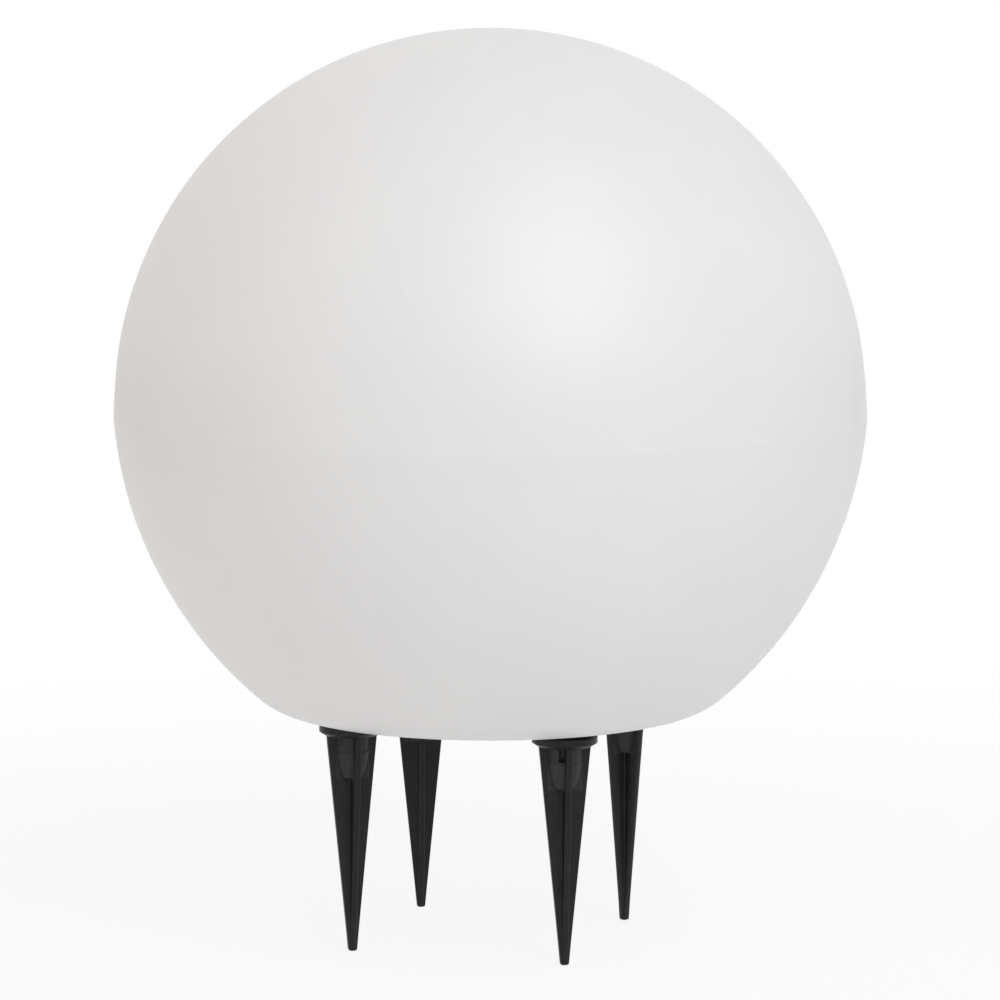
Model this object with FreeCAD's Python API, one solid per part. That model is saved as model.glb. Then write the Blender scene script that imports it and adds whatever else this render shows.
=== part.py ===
import FreeCAD, Part
import math
import os

# A garden globe light: a hollow moulded ball on four ground spikes that screw into
# its flat base.  A lamp unit (cover, cable gland, terminal block, lamp holder and
# bulb) closes the recess in the base and drops out downwards to change the bulb.
# Millimetres, +Z up, the axis of the ball on Z, z = 0 at the tips of the spikes.
# Front is -Y, right is +X.

# ---- driving dimensions: ground spikes ----
SPIKE_LENGTH = 153.0       # flange top to tip
SPIKE_PITCH_R = 104.0      # spike axes from the axis of the ball
FLANGE_R = 21.5
FLANGE_T = 7.0
FLANGE_CHAMFER = 2.5
FLANGE_EDGE_ROUND = 0.6
FLANGE_UNDER_R = 17.7
FIN_TOP_R = 17.3
FIN_TIP_R = 2.7
FIN_T = 4.0
FIN_EDGE_ROUND = 0.8
TIP_ROUND = 1.5
NECK_HUB_R = 11.2          # upper part of the hub, round the bolt head
NECK_HUB_H = 10.3
HUB_DRAFT = 0.3
LEDGE_DROP = 0.8           # slope of the ledge between hub and cup
CUP_TOP_R = 11.6           # tapered and slightly bellied cup below it
CUP_BELLY_R = 10.0
CUP_BELLY_H = 11.0         # below the ledge
CUP_BELLY_ROUND = 30.0
CUP_END_R = 7.3
CUP_H = 18.3
CUP_END_ROUND = 2.0
WINDOW_W = 4.0             # opening in the hub beside one fin, onto the bolt head
WINDOW_DEPTH = 5.4
WINDOW_SILL = 0.8
WINDOW_LINTEL = 0.4
BOLT_R = 4.0               # M8
BOLT_REACH = 15.0          # thread above the base plane
BOLT_POINT = 1.0
BOLT_HEAD_AF = 13.0
BOLT_HEAD_H = 5.3
BOLT_HEAD_SINK = 1.5       # its seat below the underside of the flange
WASHER_T = 3.0
WASHER_R = 18.0
WASHER_PLAY = 0.4

# ---- driving dimensions: ball ----
BASE_Z = SPIKE_LENGTH + WASHER_T
GLOBE_R = 250.0
BASE_DROP = 205.1          # centre of the ball to its flat base
SEAM_R = 251.0             # mould parting line, a soft ridge
SEAM_DROP = 7.1            # below the centre
RIDGE_START = 25.0         # above the centre, where the wall leaves the sphere
LOWER_R = 274.8            # profile radius below the parting line
CORNER_R = 48.0            # rounding into the flat base
FLAT_R = 126.5
WALL = 3.5
RECESS_MOUTH_R = 72.0
RECESS_END_R = 69.0
RECESS_DEPTH = 60.0
MOUTH_FLARE = 6.0
MOUTH_ROUND = 5.6
RECESS_ROUND = 4.0
NECK_R = 48.0              # opening from the recess into the ball
GROOVE_R = 6.0             # cable groove in the base, towards the rear
GROOVE_DEPTH = 10.0

# ---- driving dimensions: moulded-in inserts ----
SPIKE_INSERT_R = 6.5
SPIKE_INSERT_WAIST_R = 5.6
SPIKE_INSERT_L = 18.0
SPIKE_BOSS_R = 11.0
SPIKE_BOSS_FOOT_R = 12.5
COVER_PITCH_R = 58.0
COVER_INSERT_R = 3.5
COVER_INSERT_WAIST_R = 3.0
COVER_INSERT_L = 12.0
COVER_BOSS_R = 7.0
COVER_BOSS_FOOT_R = 8.0
WAIST_FROM = 0.4           # where an insert's waist starts and ends, as shares of its length
WAIST_TO = 0.65
RUN_FIT = 0.05             # radial play of a screw in its insert

# ---- driving dimensions: lamp unit ----
SEAL_T = 1.5
SEAL_R = 54.0
SEAL_BORE_R = 49.5
COVER_R = 64.0
COVER_T = 4.0
COVER_EDGE_ROUND = 1.0
COVER_RIM_T = 2.2
COVER_RIM_H = 7.5
COVER_RIM_ROUND = 0.6
COVER_RIM_FILLET = 2.0
SPIGOT_R = 46.5
SPIGOT_T = 2.5
SPIGOT_H = 4.5
RIB_COUNT = 8
RIB_T = 2.0
RIB_H = 5.0
FOOT_PAD_R = 4.0           # under the cover, for the stirrup's screws
COVER_SCREW_R = 2.0        # M4
COVER_SCREW_HEAD_R = 3.6
COVER_SCREW_HEAD_H = 2.6
COVER_SCREW_HEAD_ROUND = 0.9
COVER_SCREW_KEY = 2.5      # hexagon socket, across flats
COVER_SCREW_KEY_DEPTH = 1.6
COVER_SCREW_PLAY = 0.25
COVER_SCREW_L = 14.0
GLAND_BOSS_R = 15.0
GLAND_BOSS_H = 6.0
GLAND_THREAD_R = 8.0       # M16
GLAND_PLAY = 0.1
GLAND_AF = 20.0
GLAND_WASHER_R = 10.5
GLAND_WASHER_T = 1.5
GLAND_FLANGE_H = 5.0
GLAND_BARREL_L = 10.0      # below the hexagon
GLAND_SEAL_TOP = 3.0       # below the hexagon
GLAND_SEAL_L = 6.5
GLAND_SEAL_R = 6.6
GLAND_NUT_L = 16.0
GLAND_NUT_GAP = 0.5        # left to tighten, below the hexagon
GLAND_DOME_H = 7.0
GLAND_DOME_ROUND = 3.0
GLAND_CORNER_ROUND = 0.8
GLAND_NOSE_R = 7.0
GLAND_NOSE_ROUND = 2.0
GLAND_BORE_R = 5.0
CABLE_R = 3.5              # cable that the gland is made for
LOCKNUT_AF = 19.0
LOCKNUT_H = 4.0
GLAND_END_L = 1.5          # thread above the locknut
STIRRUP_H = 22.0
STIRRUP_T = 2.0
STIRRUP_W = 20.0
STIRRUP_HALF = 22.0
STIRRUP_FOOT = 12.0
BEND_ROUND = 1.0           # inside of the stirrup's upper bends
FOOT_BEND_ROUND = 0.8
FOOT_BEND_OUT = 2.8        # outside of its lower bends
STIRRUP_SCREW_R = 1.75
STIRRUP_SCREW_L = 9.5
STIRRUP_SCREW_HEAD_R = 3.4
STIRRUP_SCREW_HEAD_H = 2.2
STIRRUP_SCREW_KEY = 2.0
STIRRUP_SCREW_KEY_DEPTH = 1.2
STIRRUP_SCREW_PLAY = 0.15
PAN_ROUND = 0.6            # rounding of a pan head, as a share of its height
NIPPLE_R = 5.0             # M10 tube
NIPPLE_BORE_R = 3.75
NIPPLE_BELOW = 6.0         # below the stirrup's bridge
NIPPLE_ABOVE = 8.0
NIPPLE_NUT_AF = 14.0
NIPPLE_NUT_H = 4.0
TERMINAL_PITCH = 8.0
TERMINAL_LIFT = 8.0        # wire height above the cover
TERMINAL_NEAR_Y = 20.0
TERMINAL_FAR_Y = 36.0
TERMINAL_HALF_X = 9.0
TERMINAL_H = 13.5
TERMINAL_SHOULDER = 2.5    # sides of the block above the wire
TERMINAL_POLE_HALF = 2.6
TERMINAL_ROUND = 1.0
TERMINAL_GAP_HALF = 1.4    # slot between the poles
TERMINAL_GAP_FLOOR = 5.0
TUBE_R = 2.2
WIRE_PLAY = 0.1
GRUB_R = 1.0
GRUB_SINK = 1.5            # below the top of the block
GRUB_WELL_R = 1.5
GRUB_INSET = 4.0           # from either end of a wire tube
FIXING_SCREW_R = 1.2
FIXING_HEAD_R = 1.35
FIXING_HEAD_H = 1.5
FIXING_SCREW_L = 8.0
LEAD_R = 1.1
LEAD_SPREAD = 1.7          # either side of the axis, inside the nipple
LEAD_BEND = 4.0
LEAD_IN_TUBE = 6.0         # length inside the terminal
LEAD_TURN_IN = 4.0         # where the leads draw together, and where they are together,
LEAD_TOGETHER = 11.0       # before the terminal

# ---- driving dimensions: lamp holder and bulb (27 mm screw cap) ----
HOLDER_BASE_H = 27.5
HOLDER_R = 20.5
HOLDER_H = 63.5
HOLDER_WALL = 2.2
HOLDER_FOOT_R = 13.0
HOLDER_FOOT_ROUND = 2.0
HOLDER_FLARE_H = 11.0
HOLDER_FLARE_ROUND = 3.0
HOLDER_COLLAR_H = 10.0
HOLDER_FLOOR = 8.0
HOLDER_HOLLOW_R = 11.0
HOLDER_HOLLOW_H = 15.0     # where the hollow has its full width
HOLDER_HOLLOW_ROUND = 1.5
HOLDER_LAND = 1.0          # ring that the contact carrier rests on
INSERT_R = 16.0
INSERT_H = 8.0
NOTCH_HALF = 2.6
NOTCH_DEPTH = 5.0
SCREW_SHELL_R = 13.5
SHELL_OUTER_R = 14.2
CONTACT_T = 0.5
CONTACT_HALF = 2.5
CONTACT_REACH = 8.0        # of the side contact, up along the screw shell
TONGUE_FOOT = -10.0        # the centre contact's outline across the holder
TONGUE_RISE = -5.5
TONGUE_CREST = 2.5
TONGUE_END = 4.0
TONGUE_GAP = 0.4           # below the bulb's tip, and the dip of its end
BULB_SEAT = 5.5            # tip of a screwed-in bulb above the contact carrier
HOLDER_LIP_T = 3.0
HOLDER_LIP_PLAY = 0.4
HOLDER_INSERT_PLAY = 0.2
HOLDER_TAPER_H = 12.0
HOLDER_TAPER = 1.5
HOLDER_TAPER_ROUND = 1.0
HOLDER_EDGE_ROUND = 1.2
HOLDER_MOUTH_ROUND = 0.8
FLUTE_COUNT = 16
FLUTE_MARGIN = 2.0
FLUTE_R = 1.6
FLUTE_SINK = 0.8
CAP_R = 13.1
CAP_WALL = 0.6
CAP_ROLL_IN = 1.2          # lower edge of the cap, rolled in round the insulator
CAP_ROLL_Z = 5.0           # the lower edge above the tip
CAP_EDGE_ROUND = 0.5
CAP_LENGTH = 26.5
TIP_R = 4.8
TIP_H = 1.5
TIP_EDGE_ROUND = 1.0
BEAD_FOOT_R = 5.2
BEAD_FLARE_H = 4.0
BEAD_H = 6.0
BEAD_ROUND = 0.6
BULB_LENGTH = 108.0
BULB_R = 30.0
BULB_NECK_R = 14.5
BULB_NECK_ROUND = 0.8
WAIST_OUT = 2.0
WAIST_H = 12.0
WAIST_ROUND = 25.0
WAIST_INNER_ROUND = 22.0
DIFFUSER_WALL = 1.4
DIFFUSER_DROP = 13.5       # its open edge below the centre of the dome
HOUSING_WALL = 1.6
HOUSING_PLUG_L = 12.0      # inside the cap
HOUSING_RIM_R = 27.3
HOUSING_RIM_H = 5.0
HOUSING_RIM_ROUND = 8.0
HOUSING_BORE_R = 25.8
HOUSING_LEDGE_R = 20.5
HOUSING_LEDGE_T = 2.0
SPIGOT_PLAY = 0.4
SPIGOT_WALL = 1.1
SPIGOT_LENGTH = 3.0
SPIGOT_LAP = 0.6
LED_BOARD_T = 1.6
LED_BOARD_SINK = 4.4       # its top below the rim
LED_BOARD_PLAY = 0.8
LED_COUNT = 12
LED_PITCH_R = 16.0
LED_HALF_X = 1.4
LED_HALF_Y = 1.75
LED_H = 0.8
DRIVER_HALF_W = 9.0
DRIVER_HALF_T = 0.8
DRIVER_L = 28.0
CAPACITOR_R = 4.0
CAPACITOR_Y = 4.6
CAPACITOR_FROM = 14.0      # below the LED board
PARTS_TOP = 4.0
COIL_HALF_W = 5.0
COIL_Y = 7.0
COIL_FROM = 12.0

# ---- allowances for cutting and joining ----
OVERRUN = 1.0              # how far a cutting form passes the face that it opens
JOIN = 0.5                 # how far two forms of one moulding reach into each other
BELOW_BASE = 10.0          # how far the recess and groove forms reach out of the base

# ---- heights that follow from them ----
CENTRE_Z = BASE_Z + BASE_DROP
CEILING_Z = BASE_Z + RECESS_DEPTH
COVER_TOP = CEILING_Z - SEAL_T
COVER_LOW = COVER_TOP - COVER_T
GLAND_SEAT = COVER_LOW - GLAND_BOSS_H
GLAND_HEX_TOP = GLAND_SEAT - GLAND_WASHER_T
GLAND_HEX_LOW = GLAND_HEX_TOP - GLAND_FLANGE_H
GLAND_NUT_TOP = GLAND_HEX_LOW - GLAND_NUT_GAP
GLAND_END = COVER_TOP + LOCKNUT_H + GLAND_END_L
STIRRUP_TOP = COVER_TOP + STIRRUP_H + STIRRUP_T
HOLDER_COLLAR_TOP = STIRRUP_TOP + HOLDER_BASE_H
INSERT_TOP = HOLDER_COLLAR_TOP + INSERT_H
HOLDER_TOP = STIRRUP_TOP + HOLDER_H
BULB_TIP = INSERT_TOP + BULB_SEAT
BULB_TOP = BULB_TIP + BULB_LENGTH
BULB_CENTRE = BULB_TOP - BULB_R
DIFFUSER_RIM = BULB_CENTRE - DIFFUSER_DROP
LED_BOARD_TOP = DIFFUSER_RIM - LED_BOARD_SINK
LED_BOARD_LOW = LED_BOARD_TOP - LED_BOARD_T

# Spike name: side along X, side along Y, and the turn of the moulding about its axis.
SPIKES = {
    "front_left": (-1, -1, 36.0),
    "front_right": (1, -1, -62.0),
    "rear_left": (-1, 1, 113.0),
    "rear_right": (1, 1, 148.0),
}


# ---- outlines and simple solids ----
def at(x, y, z):
    return FreeCAD.Vector(x, y, z)


def cylinder(radius, low, high):
    return Part.makeCylinder(radius, high - low, at(0, 0, low))


def tube(radius, bore, low, high):
    return cylinder(radius, low, high).cut(cylinder(bore, low - OVERRUN, high + OVERRUN))


def block(x0, x1, y0, y1, z0, z1):
    return Part.makeBox(x1 - x0, y1 - y0, z1 - z0, at(x0, y0, z0))


def hexagon(across_flats, low, high):
    corner = across_flats / math.sqrt(3)
    ring = [at(corner * math.cos(math.radians(60 * i)), corner * math.sin(math.radians(60 * i)), low)
            for i in range(7)]
    return Part.Face(Part.makePolygon(ring)).extrude(at(0, 0, high - low))


def outline(corners):
    """Closed face in the XZ plane from (x, z, rounding) corners; arcs are tangent to the sides."""
    edges = []
    starts = []
    ends = []
    mids = []
    for i, (x, z, rounding) in enumerate(corners):
        corner = at(x, 0, z)
        before = at(corners[i - 1][0], 0, corners[i - 1][1]) - corner
        after = at(corners[(i + 1) % len(corners)][0], 0, corners[(i + 1) % len(corners)][1]) - corner
        before.normalize()
        after.normalize()
        half = before.getAngle(after) / 2
        setback = rounding / math.tan(half)
        starts.append(corner + before * setback)
        ends.append(corner + after * setback)
        bisector = before + after
        mids.append(corner)
        if rounding:
            bisector.normalize()
            mids[-1] = corner + bisector * (rounding / math.sin(half) - rounding)
    for i, (x, z, rounding) in enumerate(corners):
        if rounding:
            edges.append(Part.Arc(starts[i], mids[i], ends[i]).toShape())
        nearby = starts[(i + 1) % len(corners)]
        if (nearby - ends[i]).Length > 1e-6:
            edges.append(Part.LineSegment(ends[i], nearby).toShape())
    return Part.Face(Part.Wire(edges))


def turned(corners):
    return outline(corners).revolve(at(0, 0, 0), at(0, 0, 1), 360)


def moved(shape, x, y, z=0.0, turn=0.0):
    placed = shape.copy()
    placed.rotate(at(0, 0, 0), at(0, 0, 1), turn)
    placed.translate(at(x, y, z))
    return placed


def ring_of(shape, count, radius, first=0.0):
    """Separate copies of a shape, spaced round the axis and turned with it."""
    copies = []
    for i in range(count):
        angle = first + 360.0 / count * i
        x = radius * math.cos(math.radians(angle))
        y = radius * math.sin(math.radians(angle))
        copies.append(moved(shape, x, y, turn=angle))
    return copies


def spike_places():
    offset = SPIKE_PITCH_R / math.sqrt(2)
    return [(side_x * offset, side_y * offset) for side_x, side_y, turn in SPIKES.values()]


# ---- the ball ----
def circles_meet(c1, r1, c2, r2, near):
    """Crossing point of two circles in the XZ plane, the one nearer to a given point."""
    span = c2 - c1
    gap = span.Length
    along = (gap * gap + r1 * r1 - r2 * r2) / (2 * gap)
    across = math.sqrt(r1 * r1 - along * along)
    unit = span / gap
    side = at(-unit.z, 0, unit.x)
    crossings = [c1 + unit * along + side * across, c1 + unit * along - side * across]
    return min(crossings, key=lambda point: (point - near).Length)


def arc_between(centre, radius, start, end):
    towards = (start - centre).normalize() + (end - centre).normalize()
    towards.normalize()
    return Part.Arc(start, centre + towards * radius, end).toShape()


def ball_body(inset):
    """The ball as a solid, its whole profile moved in by a wall thickness or by nothing."""
    centre = at(0, 0, CENTRE_Z)
    seam = at(SEAM_R, 0, CENTRE_Z - SEAM_DROP)
    rise = math.asin(RIDGE_START / GLOBE_R)
    normal = at(math.cos(rise), 0, math.sin(rise))
    leave = centre + normal * GLOBE_R
    chord = seam - leave
    ridge_r = -chord.Length ** 2 / (2 * chord.dot(normal))
    ridge_centre = leave - normal * ridge_r
    corner_centre = at(FLAT_R, 0, BASE_Z + CORNER_R)
    inside = at(0, 0, CENTRE_Z)
    lower_centre = circles_meet(seam, LOWER_R, corner_centre, LOWER_R - CORNER_R, inside)

    pole = centre + at(0, 0, GLOBE_R - inset)
    leave_in = centre + normal * (GLOBE_R - inset)
    seam_in = circles_meet(ridge_centre, ridge_r - inset, lower_centre, LOWER_R - inset, seam)
    tangent = (corner_centre - lower_centre).normalize()
    corner_in = corner_centre + tangent * (CORNER_R - inset)
    flat_in = at(FLAT_R, 0, BASE_Z + inset)
    foot = at(0, 0, BASE_Z + inset)
    edges = [
        arc_between(centre, GLOBE_R - inset, pole, leave_in),
        arc_between(ridge_centre, ridge_r - inset, leave_in, seam_in),
        arc_between(lower_centre, LOWER_R - inset, seam_in, corner_in),
        arc_between(corner_centre, CORNER_R - inset, corner_in, flat_in),
        Part.LineSegment(flat_in, foot).toShape(),
        Part.LineSegment(foot, pole).toShape(),
    ]
    return Part.Face(Part.Wire(edges)).revolve(at(0, 0, 0), at(0, 0, 1), 360)


def recess_space(grow):
    """Drafted recess with a flared mouth; grown by the wall it is the skin round the recess."""
    low = BASE_Z + grow
    corners = [
        (0, low - BELOW_BASE, 0),
        (RECESS_MOUTH_R + MOUTH_FLARE, low - BELOW_BASE, 0),
        (RECESS_MOUTH_R + MOUTH_FLARE, low, 0),
        (RECESS_MOUTH_R + grow, low, MOUTH_ROUND - grow),
        (RECESS_END_R + grow, CEILING_Z + grow, RECESS_ROUND + grow),
        (0, CEILING_Z + grow, 0),
    ]
    return turned(corners)


def groove_space(grow):
    """Round-topped cable groove from the recess out through the rear of the base."""
    radius = GROOVE_R + grow
    crown = BASE_Z + GROOVE_DEPTH - GROOVE_R
    top = Part.makeCylinder(radius, CORNER_R + FLAT_R, at(0, NECK_R, crown), at(0, 1, 0))
    foot = block(-radius, radius, NECK_R, NECK_R + CORNER_R + FLAT_R, BASE_Z - BELOW_BASE, crown)
    return top.fuse(foot).removeSplitter()


def insert_body(radius, waist, length):
    """Turned bush without its thread, waisted so that the moulding holds it."""
    waist_low = length * WAIST_FROM
    waist_high = length * WAIST_TO
    return turned([
        (0, 0, 0), (radius, 0, 0), (radius, waist_low, 0), (waist, waist_low, 0),
        (waist, waist_high, 0), (radius, waist_high, 0), (radius, length, 0), (0, length, 0)])


def spike_insert_body():
    return insert_body(SPIKE_INSERT_R, SPIKE_INSERT_WAIST_R, SPIKE_INSERT_L)


def cover_insert_body():
    return insert_body(COVER_INSERT_R, COVER_INSERT_WAIST_R, COVER_INSERT_L)


def boss(foot_r, top_r, foot, insert_length):
    """Drafted boss that stands up into the ball round an insert."""
    top = foot + insert_length + WALL
    return turned([(0, foot, 0), (foot_r, foot, 0), (top_r, top, WALL), (0, top, 0)])


def globe_shell():
    """One-piece hollow moulding: ball, recess, neck, cable groove and bosses, all one wall."""
    inside = ball_body(WALL).cut(recess_space(WALL)).cut(groove_space(WALL))
    spike_boss = boss(SPIKE_BOSS_FOOT_R, SPIKE_BOSS_R, BASE_Z, SPIKE_INSERT_L)
    for x, y in spike_places():
        inside = inside.cut(moved(spike_boss, x, y))
    cover_boss = boss(COVER_BOSS_FOOT_R, COVER_BOSS_R, CEILING_Z, COVER_INSERT_L)
    for copy in ring_of(cover_boss, 4, COVER_PITCH_R, 45):
        inside = inside.cut(copy)
    shell = ball_body(0).cut(recess_space(0)).cut(groove_space(0)).cut(inside)
    shell = shell.cut(cylinder(NECK_R, CEILING_Z - OVERRUN, CEILING_Z + WALL + OVERRUN))
    for x, y in spike_places():
        shell = shell.cut(moved(spike_insert_body(), x, y, BASE_Z))
    for copy in ring_of(moved(cover_insert_body(), 0, 0, CEILING_Z), 4, COVER_PITCH_R, 45):
        shell = shell.cut(copy)
    return shell


def spike_inserts():
    insert = spike_insert_body().cut(cylinder(BOLT_R + RUN_FIT, -OVERRUN, SPIKE_INSERT_L + OVERRUN))
    return [moved(insert, x, y, BASE_Z) for x, y in spike_places()]


def cover_inserts():
    insert = cover_insert_body().cut(cylinder(COVER_SCREW_R + RUN_FIT, -OVERRUN, COVER_INSERT_L + OVERRUN))
    return ring_of(moved(insert, 0, 0, CEILING_Z), 4, COVER_PITCH_R, 45)


# ---- one ground spike, about its own axis with the base plane at z = 0 ----
def spike_bolt():
    """Hexagon bolt moulded into the spike, its thread standing up out of the flange."""
    head_top = -WASHER_T - FLANGE_T - BOLT_HEAD_SINK
    shank = turned([
        (0, head_top, 0), (BOLT_R, head_top, 0), (BOLT_R, BOLT_REACH - BOLT_POINT, 0),
        (BOLT_R - BOLT_POINT, BOLT_REACH, 0), (0, BOLT_REACH, 0)])
    return shank.fuse(hexagon(BOLT_HEAD_AF, head_top - BOLT_HEAD_H, head_top))


def spike_washer():
    return tube(WASHER_R, BOLT_R + WASHER_PLAY, -WASHER_T, 0)


def spike_blade():
    """One of the two crossed blades: straight taper to a blunt tip, long edges eased."""
    under = -WASHER_T - FLANGE_T
    tip = -WASHER_T - SPIKE_LENGTH
    face = outline([
        (-FIN_TOP_R, under + JOIN, 0), (-FIN_TIP_R, tip, TIP_ROUND),
        (FIN_TIP_R, tip, TIP_ROUND), (FIN_TOP_R, under + JOIN, 0)])
    face.translate(at(0, -FIN_T / 2, 0))
    blade = face.extrude(at(0, FIN_T, 0))
    long_edges = [edge for edge in blade.Edges
                  if edge.Length > SPIKE_LENGTH / 2]
    return blade.makeFillet(FIN_EDGE_ROUND, long_edges)


def spike_body():
    """Moulded spike: chamfered flange, hub with its tapered cup, four fins, bolt window."""
    top = -WASHER_T
    under = top - FLANGE_T
    flange = turned([
        (0, top, 0), (FLANGE_R, top, FLANGE_EDGE_ROUND), (FLANGE_R, under + FLANGE_CHAMFER, 0),
        (FLANGE_UNDER_R, under, 0), (0, under, 0)])
    ledge = under - NECK_HUB_H
    hub = turned([
        (0, under + JOIN, 0), (NECK_HUB_R + HUB_DRAFT, under + JOIN, 0), (NECK_HUB_R, ledge, 0),
        (CUP_TOP_R, ledge - LEDGE_DROP, 0), (CUP_BELLY_R, ledge - CUP_BELLY_H, CUP_BELLY_ROUND),
        (CUP_END_R, ledge - CUP_H, CUP_END_ROUND), (0, ledge - CUP_H, 0)])
    blade = spike_blade()
    body = flange.fuse([hub, blade, moved(blade, 0, 0, turn=90)])
    window = block(NECK_HUB_R - WINDOW_DEPTH, NECK_HUB_R + OVERRUN, -FIN_T / 2 - WINDOW_W, -FIN_T / 2,
                   ledge + WINDOW_SILL, under - WINDOW_LINTEL)
    return body.cut(window).cut(spike_bolt()).removeSplitter()


# ---- lamp unit: cover, seal, gland ----
def base_cover():
    """Round cover: plate, finger rim, radial ribs, gland boss below, locating spigot above."""
    plate = cylinder(COVER_R - COVER_EDGE_ROUND, COVER_LOW, COVER_TOP)
    rim = turned([
        (COVER_R - COVER_RIM_T, COVER_LOW - COVER_RIM_H, COVER_RIM_ROUND),
        (COVER_R, COVER_LOW - COVER_RIM_H, COVER_RIM_ROUND), (COVER_R, COVER_TOP, COVER_EDGE_ROUND),
        (COVER_R - COVER_RIM_T - COVER_RIM_FILLET, COVER_TOP, 0), (COVER_R - COVER_RIM_T, COVER_LOW, 0)])
    spigot = tube(SPIGOT_R, SPIGOT_R - SPIGOT_T, COVER_TOP - JOIN, COVER_TOP + SPIGOT_H)
    boss = cylinder(GLAND_BOSS_R, GLAND_SEAT, COVER_LOW)
    rib = block(GLAND_BOSS_R - JOIN, COVER_R - JOIN, -RIB_T / 2, RIB_T / 2, COVER_LOW - RIB_H, COVER_LOW)
    ribs = ring_of(rib, RIB_COUNT, 0, 180.0 / RIB_COUNT)
    pads = [moved(cylinder(FOOT_PAD_R, COVER_LOW - RIB_H, COVER_LOW), x, 0) for x in foot_screw_places()]
    cover = plate.fuse([rim, spigot, boss] + ribs + pads)
    cover = cover.cut(cylinder(GLAND_THREAD_R + GLAND_PLAY, GLAND_SEAT - OVERRUN, COVER_TOP + OVERRUN))
    screw_hole = cylinder(COVER_SCREW_R + COVER_SCREW_PLAY, COVER_LOW - OVERRUN, COVER_TOP + OVERRUN)
    for copy in ring_of(screw_hole, 4, COVER_PITCH_R, 45):
        cover = cover.cut(copy)
    cover = cover.cut(foot_screw_holes()).cut(terminal_fixing_screw())
    return cover.removeSplitter()


def cover_seal():
    return tube(SEAL_R, SEAL_BORE_R, COVER_TOP, CEILING_Z)


def cover_screws():
    low = COVER_LOW - COVER_SCREW_HEAD_H
    high = COVER_LOW + COVER_SCREW_L
    screw = turned([
        (0, low, 0), (COVER_SCREW_HEAD_R, low, COVER_SCREW_HEAD_ROUND), (COVER_SCREW_HEAD_R, COVER_LOW, 0),
        (COVER_SCREW_R, COVER_LOW, 0), (COVER_SCREW_R, high, 0), (0, high, 0)])
    socket = hexagon(COVER_SCREW_KEY, low - OVERRUN, low + COVER_SCREW_KEY_DEPTH)
    return ring_of(screw.cut(socket), 4, COVER_PITCH_R, 45)


def gland_washer():
    return tube(GLAND_WASHER_R, GLAND_THREAD_R, GLAND_HEX_TOP, GLAND_SEAT)


def gland_body():
    """Threaded barrel through the cover, hexagon below it, lower barrel for the dome nut."""
    barrel_low = GLAND_HEX_LOW - GLAND_BARREL_L
    barrel = cylinder(GLAND_THREAD_R - RUN_FIT, barrel_low, GLAND_END)
    body = barrel.fuse(hexagon(GLAND_AF, GLAND_HEX_LOW, GLAND_HEX_TOP))
    bore = cylinder(GLAND_BORE_R, barrel_low - OVERRUN, GLAND_END + OVERRUN)
    seal_seat = cylinder(GLAND_SEAL_R, barrel_low - OVERRUN, GLAND_HEX_LOW - GLAND_SEAL_TOP)
    return body.cut(bore).cut(seal_seat)


def gland_locknut():
    nut = hexagon(LOCKNUT_AF, COVER_TOP, COVER_TOP + LOCKNUT_H)
    return nut.cut(cylinder(GLAND_THREAD_R, COVER_TOP - OVERRUN, COVER_TOP + LOCKNUT_H + OVERRUN))


def gland_seal():
    top = GLAND_HEX_LOW - GLAND_SEAL_TOP
    return tube(GLAND_SEAL_R - RUN_FIT, CABLE_R, top - GLAND_SEAL_L, top)


def gland_nut():
    """Domed cap nut: hexagon above, rounded nose below with the cable hole through it."""
    low = GLAND_NUT_TOP - GLAND_NUT_L
    corner = GLAND_AF / math.sqrt(3)
    dome = turned([
        (0, GLAND_NUT_TOP, 0), (corner, GLAND_NUT_TOP, GLAND_CORNER_ROUND),
        (corner, low + GLAND_DOME_H, GLAND_DOME_ROUND), (GLAND_NOSE_R, low, GLAND_NOSE_ROUND), (0, low, 0)])
    body = hexagon(GLAND_AF, low, GLAND_NUT_TOP).common(dome)
    body = body.cut(cylinder(GLAND_THREAD_R, GLAND_HEX_LOW - GLAND_BARREL_L, GLAND_NUT_TOP + OVERRUN))
    return body.cut(cylinder(GLAND_BORE_R, low - OVERRUN, GLAND_NUT_TOP))


# ---- lamp unit: terminals, stirrup ----
def foot_screw_places():
    middle = STIRRUP_HALF + STIRRUP_FOOT / 2 + STIRRUP_T / 2
    return [-middle, middle]


def pan_screw(radius, head_r, head_h, length, under_head):
    return turned([
        (0, under_head - length, 0), (radius, under_head - length, 0), (radius, under_head, 0),
        (head_r, under_head, 0), (head_r, under_head + head_h, head_h * PAN_ROUND),
        (0, under_head + head_h, 0)])


def stirrup_screws():
    seat = COVER_TOP + STIRRUP_T
    screw = pan_screw(STIRRUP_SCREW_R, STIRRUP_SCREW_HEAD_R, STIRRUP_SCREW_HEAD_H, STIRRUP_SCREW_L, seat)
    head_top = seat + STIRRUP_SCREW_HEAD_H
    screw = screw.cut(hexagon(STIRRUP_SCREW_KEY, head_top - STIRRUP_SCREW_KEY_DEPTH, head_top + OVERRUN))
    return [moved(screw, x, 0) for x in foot_screw_places()]


def foot_screw_holes():
    low = COVER_TOP + STIRRUP_T - STIRRUP_SCREW_L
    return [moved(cylinder(STIRRUP_SCREW_R, low, COVER_TOP + OVERRUN), x, 0) for x in foot_screw_places()]


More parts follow.
